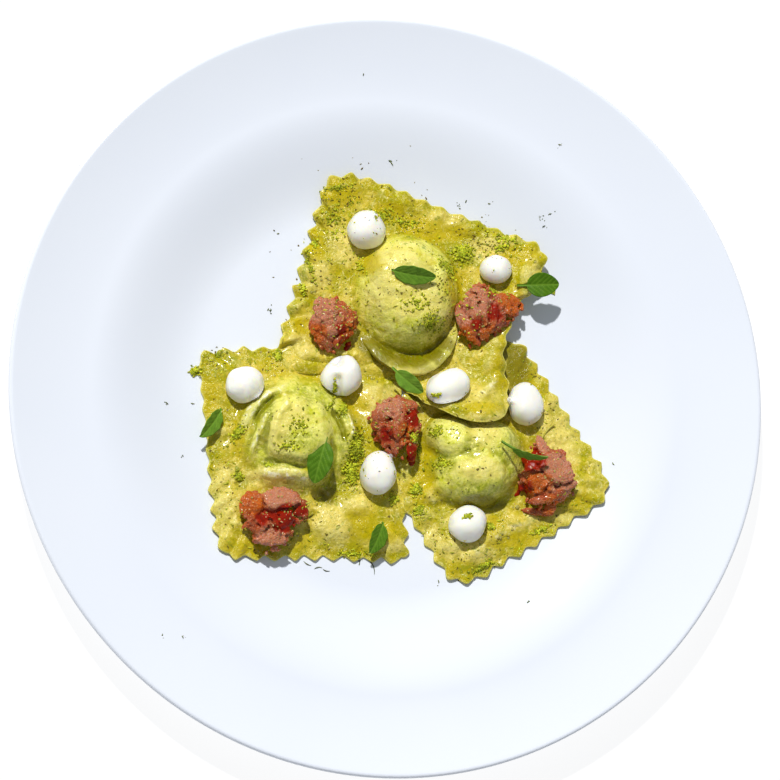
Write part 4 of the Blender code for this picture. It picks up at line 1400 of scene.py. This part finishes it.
def relaxed(points, links, times):
    """Points moved towards the middle of their neighbours, so many times."""
    degree = np.bincount(links.ravel(), minlength=len(points))[:, None]
    for _ in range(times):
        total = np.zeros_like(points)
        np.add.at(total, links[:, 0], points[links[:, 1]])
        np.add.at(total, links[:, 1], points[links[:, 0]])
        points = 0.5 * points + 0.5 * total / np.maximum(degree, 1)
    return points


def build_leaf(number, leaf, finish):
    """A thin ovate leaf with a midrib, side veins and a short stalk, where the frame has it."""
    half = leaf.long / 2
    stalk_end = -half - leaf.stalk
    stalk_stations = np.linspace(stalk_end, -half, STALK_STATIONS)[:-1]
    stations = np.concatenate([stalk_stations, np.linspace(-half, half, LEAF_STATIONS)])
    share = np.clip((stations + half) / (2 * half), 0, 1)
    width = np.maximum(np.sin(pi * share**LEAF_SKEW), 0) ** LEAF_FULLNESS * leaf.wide / 2
    stalk = STALK_WIDTH / 2 * np.where(share > 0.97, (1 - share) / 0.03, 1.0)
    width = np.maximum(width, np.maximum(stalk, 0.05))
    across = np.linspace(-1, 1, LEAF_COLUMNS + 1)
    u, v = np.meshgrid(stations, across, indexing="ij")
    w = width[:, None] * np.ones_like(v)
    y = v * w
    arch = LEAF_ARCH * half * (1 - (u / half) ** 2)
    side = np.abs(y)
    fold = LEAF_FOLD * (np.sqrt(side**2 + 0.3) - 0.55)
    lean = (u + half) / (2 * half) - 0.42 * side / (leaf.wide / 2)
    phase = (lean * VEIN_PAIRS) % 1.0
    strong = np.clip(side / 0.5, 0, 1) * (1 - np.clip(side / w, 0, 1) ** 4) * (share[:, None] > 0)
    vein = np.exp(-(((phase - 0.5) / 0.09) ** 2)) * strong
    midrib = np.exp(-((side / 0.32) ** 2))
    wave = 0.22 * np.sin(u * 1.7 + number) * (side / (leaf.wide / 2)) ** 2
    puff = 0.16 * (1 - np.cos((phase - 0.5) * tau)) * strong * 0.5
    top = arch + fold + wave - 0.05 * vein - 0.16 * midrib + 0.45 * puff
    thick = LEAF_THICK * np.clip(1.25 - np.abs(v) ** 3, 0.25, 1.0)
    bottom = top - thick + 0.1 * vein - 0.25 * midrib
    rows, columns = u.shape
    upper = np.stack([u, y, top], -1).reshape(-1, 3)
    lower = np.stack([u, y, bottom], -1).reshape(-1, 3)
    points = np.concatenate([upper, lower])
    offset = rows * columns
    faces = []
    for i in range(rows - 1):
        for j in range(columns - 1):
            a = i * columns + j
            b = a + columns
            faces.append([a, b, b + 1, a + 1])
            faces.append([offset + a, offset + a + 1, offset + b + 1, offset + b])
    for i in range(rows - 1):
        a = i * columns
        faces.append([a, offset + a, offset + a + columns, a + columns])
        a += columns - 1
        faces.append([a, a + columns, offset + a + columns, offset + a])
    last = (rows - 1) * columns
    for j in range(columns - 1):
        faces.append([j, j + 1, offset + j + 1, offset + j])
        faces.append([last + j, offset + last + j, offset + last + j + 1, last + j + 1])
    turn = Matrix.Rotation(radians(leaf.turn), 3, "Z")
    turn @= Matrix.Rotation(radians(-leaf.pitch), 3, "Y")
    turn @= Matrix.Rotation(radians(leaf.roll), 3, "X")
    points = points @ np.array(turn).T + np.array([leaf.x, leaf.y, 0])
    low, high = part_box(f"leaf_{number}")
    points[:, 2] += min(low.z / MM - points[:, 2].min(), high.z / MM - points[:, 2].max()) - leaf.drop
    paint = {
        "vein": np.concatenate([(np.maximum(vein, midrib)).ravel()] * 2),
        "under": np.concatenate([np.zeros(offset), np.ones(offset)]),
        "tone": np.full(2 * offset, leaf.tone),
    }
    new_piece(f"herb_leaf_{number}", points, faces, finish, f"leaf_{number}", "herb", paint)


# ---- crumbs, strands and beads


class Scatter:
    """Many small bodies joined into one mesh, each set on the skyline."""

    def __init__(self, skyline, seed):
        self.skyline = skyline
        self.dice = random.Random(seed)
        self.points = []
        self.faces = []
        self.tones = []
        ball = bmesh.new()
        bmesh.ops.create_icosphere(ball, subdivisions=1, radius=1.0)
        self.ball = [vertex.co.copy() for vertex in ball.verts]
        self.ball_faces = [[vertex.index for vertex in face.verts] for face in ball.faces]
        ball.free()

    def near(self, x, y, spread):
        return x + self.dice.gauss(0, spread), y + self.dice.gauss(0, spread)

    def on_heap(self, heap, part):
        x, y = turned(self.dice.gauss(0, heap.long / part), self.dice.gauss(0, heap.wide / part), heap.turn)
        return heap.x + x, heap.y + y

    def put(self, x, y, shape, lift=0.0, towards=None):
        """Sets a shape down on the surface, turned at random where no direction is given."""
        found = self.skyline.hit(x, y)
        if not found or found[1].z < 0.25:
            return
        place, up = found
        way = self.dice.uniform(0, tau)
        side = up.cross(Vector((cos(way), sin(way), 0))).normalized()
        turn = Matrix((side, up.cross(side), up)).transposed()
        if towards is not None:
            way = radians(towards)
            turn = Matrix(((cos(way), -sin(way), 0), (sin(way), cos(way), 0), (0, 0, 1)))
        points, faces = shape(self.dice)
        start = len(self.points)
        self.points += [tuple(place + turn @ point + Vector((0, 0, lift))) for point in points]
        self.faces += [[start + i for i in face] for face in faces]
        self.tones += [self.dice.random()] * len(points)

    def grain(self, x, y, size, flat=0.6, long=1.3, lift=0.0):
        """An irregular crumb, lifted where others lie under it."""

        def shape(dice):
            scale = Vector((size * dice.uniform(0.8, long), size * dice.uniform(0.5, 0.9), size * flat))
            points = []
            for corner in self.ball:
                local = corner * (1 + dice.uniform(-0.3, 0.3))
                local = Vector((local.x * scale.x, local.y * scale.y, local.z * scale.z + 0.4 * scale.z))
                points.append(local)
            return points, self.ball_faces

        self.put(x, y, shape, lift)

    def strip(self, x, y, length, width, bend, thick=0.22, lift=0.15, towards=None):
        """A grated curl: a thin bent strip."""
        self.put(x, y, lambda dice: self.bent(dice, length, width, bend, thick, lift), 0.0, towards)

    def bent(self, dice, length, width, bend, thick, lift):
        points = []
        for i in range(STRIP_STEPS):
            share = i / (STRIP_STEPS - 1) - 0.5
            angle = bend * share
            middle = Vector((length * share, length * bend * (share**2 - 0.1) * 0.5, 0))
            side = Vector((-sin(angle), cos(angle), 0))
            half = width / 2 * (1 - (2 * share) ** 4 * 0.8)
            rise = lift + 0.15 * cos(share * 9 + dice.uniform(0, 1))
            for across, up in ((-1, -1), (1, -1), (1, 1), (-1, 1)):
                points.append(middle + side * across * half + Vector((0, 0, rise + up * thick / 2)))
        faces = [[3, 2, 1, 0]]
        for i in range(STRIP_STEPS - 1):
            for j in range(4):
                k = (j + 1) % 4
                faces.append([4 * i + j, 4 * i + k, 4 * i + 4 + k, 4 * i + 4 + j])
        end = 4 * (STRIP_STEPS - 1)
        faces.append([end, end + 1, end + 2, end + 3])
        return points, faces

    def bead(self, x, y, size, flat=0.7):
        self.put(x, y, lambda dice: self.round(size, flat))

    def round(self, size, flat):
        points = []
        for i in range(1, BEAD_RINGS):
            polar = pi * i / BEAD_RINGS
            for j in range(BEAD_SIDES):
                spin = tau * j / BEAD_SIDES
                local = Vector((sin(polar) * cos(spin), sin(polar) * sin(spin), 0)) * size
                local.z = cos(polar) * size * flat + 0.35 * size * flat
                points.append(local)
        faces = ring_faces(BEAD_RINGS - 1, BEAD_SIDES)
        points += [Vector((0, 0, 1.35 * size * flat)), Vector((0, 0, -0.65 * size * flat))]
        count = len(points)
        last = (BEAD_RINGS - 2) * BEAD_SIDES
        for j in range(BEAD_SIDES):
            k = (j + 1) % BEAD_SIDES
            faces.append([count - 2, j, k])
            faces.append([count - 1, last + k, last + j])
        return points, faces

    def spot(self, pile):
        """A place in a pile, closer towards its middle, and how far it lies above the surface."""
        out = abs(self.dice.gauss(0, 0.45))
        turn = self.dice.uniform(0, tau)
        x, y = turned(out * pile.long / 2 * cos(turn), out * pile.wide / 2 * sin(turn), pile.turn)
        return pile.x + x, pile.y + y, pile.height * exp(-2 * out**2) * self.dice.random()

    def finish(self, name, material, slot):
        new_piece(name, self.points, self.faces, material, None, slot, {"tone": self.tones})


def on_pasta(dice, outlines, crowds):
    """A place somewhere on the three pieces, seldom on the cream, and oftener in a crowd than not."""
    while True:
        x = dice.uniform(-70, 85)
        y = dice.uniform(-68, 85)
        spot = (np.array([x]), np.array([y]))
        if crowds.at(np.array([[x, y, 0.0]]), 15.0)[0] < dice.uniform(-0.45, 0.75):
            continue
        if any(hypot(x - dot.x, y - dot.y) < dot.wide / 2 for dot in CREAM) and dice.random() < 0.9:
            continue
        if any(inside(*spot, outline)[0] for outline in outlines):
            return x, y


def build_crumbs(skyline, outlines, crowds):
    """Zest and dried herb over all the food."""
    zest = Scatter(skyline, 401)
    dice = zest.dice
    for pile in map(Pile._make, ZEST_PILES):
        for _ in range(round(pile.count * ZEST_PLENTY)):
            x, y, lift = zest.spot(pile)
            if dice.random() < STRIP_SHARE:
                length = dice.uniform(0.7, 1.6)
                zest.strip(x, y, length, dice.uniform(0.35, 0.6), dice.uniform(-2.5, 2.5), lift=0.25 + lift)
            else:
                zest.grain(x, y, dice.uniform(0.28, 0.66), 0.75, lift=lift)
    for _ in range(ZEST_THIN):
        x, y = on_pasta(dice, outlines, crowds)
        if dice.random() < STRIP_SHARE:
            zest.strip(x, y, dice.uniform(0.8, 2.0), dice.uniform(0.25, 0.45), dice.uniform(-2, 2), lift=0.1)
        else:
            zest.grain(x, y, dice.uniform(0.2, 0.5), 0.5, 1.9)
    bright = crumb_finish("zest", (0.20, 0.23, 0.001), (0.86, 0.88, 0.035), 0.3)
    zest.finish("zest_crumbs", bright, "herb")

    flecks = Scatter(skyline, 402)
    dice = flecks.dice
    for _ in range(FLECKS_THIN):
        x, y = on_pasta(dice, outlines, crowds)
        flecks.grain(x, y, 0.14 + 0.3 * dice.random() ** 2, 0.35, 2.0)
    for x, y, spread, count in (
        (36, 62, 7, 60), (20, 43, 7, 50), (-62, 15, 5, 26), (21, 33, 8, 40), (-12, 72, 16, 40),
        (10, 70, 14, 30), (-25, 52, 12, 30), (42, 57, 10, 30), (4, 34, 16, 30),
    ):
        for _ in range(count):
            size = 0.16 + 0.3 * dice.random() ** 2
            flecks.grain(*flecks.near(x, y, spread / 2), size, 0.5, 2.0)
    dark = crumb_finish("dried herb", (0.13, 0.085, 0.006), (0.27, 0.24, 0.01), 0.5)
    flecks.finish("herb_flecks", dark, "herb")


def build_plate_crumbs(skyline):
    """The few crumbs and strands that fell beside the food."""
    loose = Scatter(skyline, 403)
    dice = loose.dice
    spots = (
        (-37.9, 61), (3.7, 88.4), (-6.9, 119.3), (32.4, 74.3), (40.9, 73.5), (63.1, 69.6), (61, 65.2),
        (-80.4, -2.6), (-70.5, -2.4), (-74.6, -21.8), (-84.5, -88.4), (-77, -89.1), (52.2, -74.2),
        (19.8, -66.5), (-9.6, -59.3), (66.6, 95), (85.4, -22.6), (-41.2, 32.3),
    )
    for x, y in spots:
        loose.strip(x, y, dice.uniform(0.8, 1.6), 0.35, dice.uniform(-1, 1), lift=0.12)
        for _ in range(dice.choice((0, 1, 1, 2))):
            loose.grain(*loose.near(x, y, 1.2), dice.uniform(0.15, 0.3), 0.5)
    for x, y in ((29.6, 72.3), (60.5, 68.4), (-41.4, 32.0)):
        for _ in range(7):
            loose.grain(*loose.near(x, y, 0.7), dice.uniform(0.2, 0.4), 0.6)
    for x, y, length, towards, bend in (
        (-29, -60.6, 3.2, -30, 0.8), (-25, -62, 3.0, 10, -1.2), (-22, -63, 2.6, -15, 1.0),
        (-5, -61, 6.5, -62, -1.4), (-9.6, -60.2, 1.6, 80, 0.2), (4, 88, 3.0, -60, 0.5),
    ):
        loose.strip(x, y, length, 0.3, bend, lift=0.15, towards=towards)
    dull = crumb_finish("loose zest", (0.06, 0.08, 0.02), (0.22, 0.26, 0.05), 0.4)
    loose.finish("loose_crumbs", dull, "herb")

    strands = Scatter(skyline, 404)
    strands.strip(61.2, -10.6, 7.2, 0.7, -0.9, 0.4, 0.35, 48)
    strands.strip(-30.5, -39.4, 5.0, 0.6, 0.9, 0.4, 0.35, 10)
    strands.strip(-12.0, -33.0, 3.0, 0.5, 1.6, 0.3, 0.3, 70)
    yellow = crumb_finish("zest strand", (0.5, 0.45, 0.05), (0.75, 0.70, 0.16), 0.25)
    strands.finish("zest_strands", yellow, "herb")


def build_sparkle_grains(skyline):
    """Pale grains on the tartare that stand for its sparkles of light: painted glints."""
    grains = Scatter(skyline, 406)
    dice = grains.dice
    for heap in TARTARE:
        for _ in range(SPARKLE_GRAINS):
            grains.grain(*grains.on_heap(heap, 4), 0.14 + 0.26 * dice.random() ** 2, 0.6, 1.7)
    # Their bright colour is a painted highlight.
    pale = crumb_finish("pale grains", (0.66, 0.36, 0.12), (1.0, 0.84, 0.50), 0.15)
    grains.finish("sparkle_grains", pale, "tartare")


def build_beads(skyline, outlines, crowds):
    """Beads of oil and juice that catch the light."""
    beads = Scatter(skyline, 405)
    dice = beads.dice
    for x, y, spread, count, size in (
        (-4, 9, 3.2, 12, 0.55), (-25, 40, 4, 6, 0.5), (-20, 44, 3, 4, 0.6), (24, 26, 3, 10, 0.5),
        (45, -50, 3, 4, 0.7), (8, -17, 3.5, 8, 0.5), (61, -30, 4, 8, 0.45), (-40, -42, 4, 6, 0.4),
        (48, -39, 1.2, 2, 0.8), (3, -22, 3, 5, 0.5),
    ):
        for _ in range(count):
            beads.bead(*beads.near(x, y, spread / 2), size * dice.uniform(0.5, 1.1))
    for heap in TARTARE:
        for _ in range(JUICE_BEADS):
            beads.bead(*beads.on_heap(heap, 4.5), 0.22 + 0.3 * dice.random() ** 2, 0.8)
    for _ in range(SHEET_BEADS):
        x, y = on_pasta(dice, outlines, crowds)
        beads.bead(x, y, 0.2 + 0.3 * dice.random() ** 2, 0.5)
    beads.finish("oil_beads", bead_finish(), "pasta")


# ---- light, floor and camera

CAMERA_DISTANCE = 3.0
CAMERA_TILT = 15.4
CAMERA_SIDE = (-0.8, -0.6, 0.0)
CAMERA_LENS = 381.5
CAMERA_SHIFT = (-0.0028, 0.0038)
CAMERA_AIM_HEIGHT = 0.023
SENSOR = 36
SUN_STRENGTH = 3.3
SUN_ANGLE = 2.2
SUN_TOWARDS = (-0.38, 0.92, 1.28)
SKY_STRENGTH = 0.3
FLOOR_REACH = 3.0
FLOOR_GLOW = 0.9


def build_camera():
    """A long lens, nearly overhead and tipped towards the near left."""
    camera = bpy.data.cameras.new("camera")
    camera.sensor_width = SENSOR
    camera.lens = CAMERA_LENS
    camera.clip_start = 0.01
    camera.shift_x, camera.shift_y = CAMERA_SHIFT
    side = Vector(CAMERA_SIDE)
    turn = Matrix.Rotation(radians(CAMERA_TILT), 4, Vector((0, 0, 1)).cross(side))
    stand = placed("camera", camera)
    back = turn @ Vector((0, 0, 1))
    stand.matrix_world = Matrix.Translation(back * CAMERA_DISTANCE + Vector((0, 0, CAMERA_AIM_HEIGHT))) @ turn
    bpy.context.scene.camera = stand


def build_lights():
    sun = bpy.data.lights.new("sun", "SUN")
    sun.energy = SUN_STRENGTH
    sun.angle = radians(SUN_ANGLE)
    sun.color = (1.0, 0.985, 0.955)
    lamp = placed("sun", sun)
    lamp.rotation_euler = Vector(SUN_TOWARDS).normalized().to_track_quat("Z", "Y").to_euler()
    world = bpy.data.worlds.new("sky")
    bpy.context.scene.world = world
    world.use_nodes = True
    sky = world.node_tree.nodes["Background"]
    sky.inputs["Color"].default_value = (0.90, 0.95, 1.0, 1)
    sky.inputs["Strength"].default_value = SKY_STRENGTH


def build_floor():
    """A pale floor that glows a little, so that the plate's shadow on it stays faint."""
    finish = Finish("floor", Base_Color=(0.12, 0.12, 0.12, 1), Roughness=1.0, Emission_Strength=FLOOR_GLOW)
    finish.feed(Emission_Color=finish.mix(finish.noise(400, 1), (1.0, 1.0, 1.0), (0.99, 0.995, 1.0)))
    mesh = bpy.data.meshes.new("floor")
    corners = [(FLOOR_REACH * x, FLOOR_REACH * y, 0) for x, y in ((-1, -1), (1, -1), (1, 1), (-1, 1))]
    mesh.from_pydata(corners, [], [(0, 1, 2, 3)])
    mesh.materials.append(finish.material)
    floor = placed("floor", mesh)


def main():
    bpy.context.scene.view_settings.view_transform = "Standard"
    build_camera()
    build_lights()
    build_floor()
    skyline = Skyline()
    points, faces = closed_loft(plate_rings())
    new_piece("porcelain_plate", points, faces, porcelain_finish(), "plate", "porcelain")
    skyline.add(points, faces)
    pasta = pasta_finish()
    for raviolo in RAVIOLI:
        build_pasta(raviolo, skyline, pasta)
    tartare = tartare_finish()
    for number, heap in enumerate(TARTARE, 1):
        build_heap(number, heap, skyline, tartare)
    cream = cream_finish()
    for number, dot in enumerate(CREAM, 1):
        build_cream(number, dot, skyline, cream)
    outlines = [rounded(raviolo.corners) for raviolo in RAVIOLI]
    crowds = Lumps(CROWDS_SEED)
    build_crumbs(skyline, outlines, crowds)
    build_plate_crumbs(skyline)
    build_sparkle_grains(skyline)
    build_beads(skyline, outlines, crowds)
    herb = herb_finish()
    for number, leaf in enumerate(LEAVES, 1):
        build_leaf(number, leaf, herb)


main()
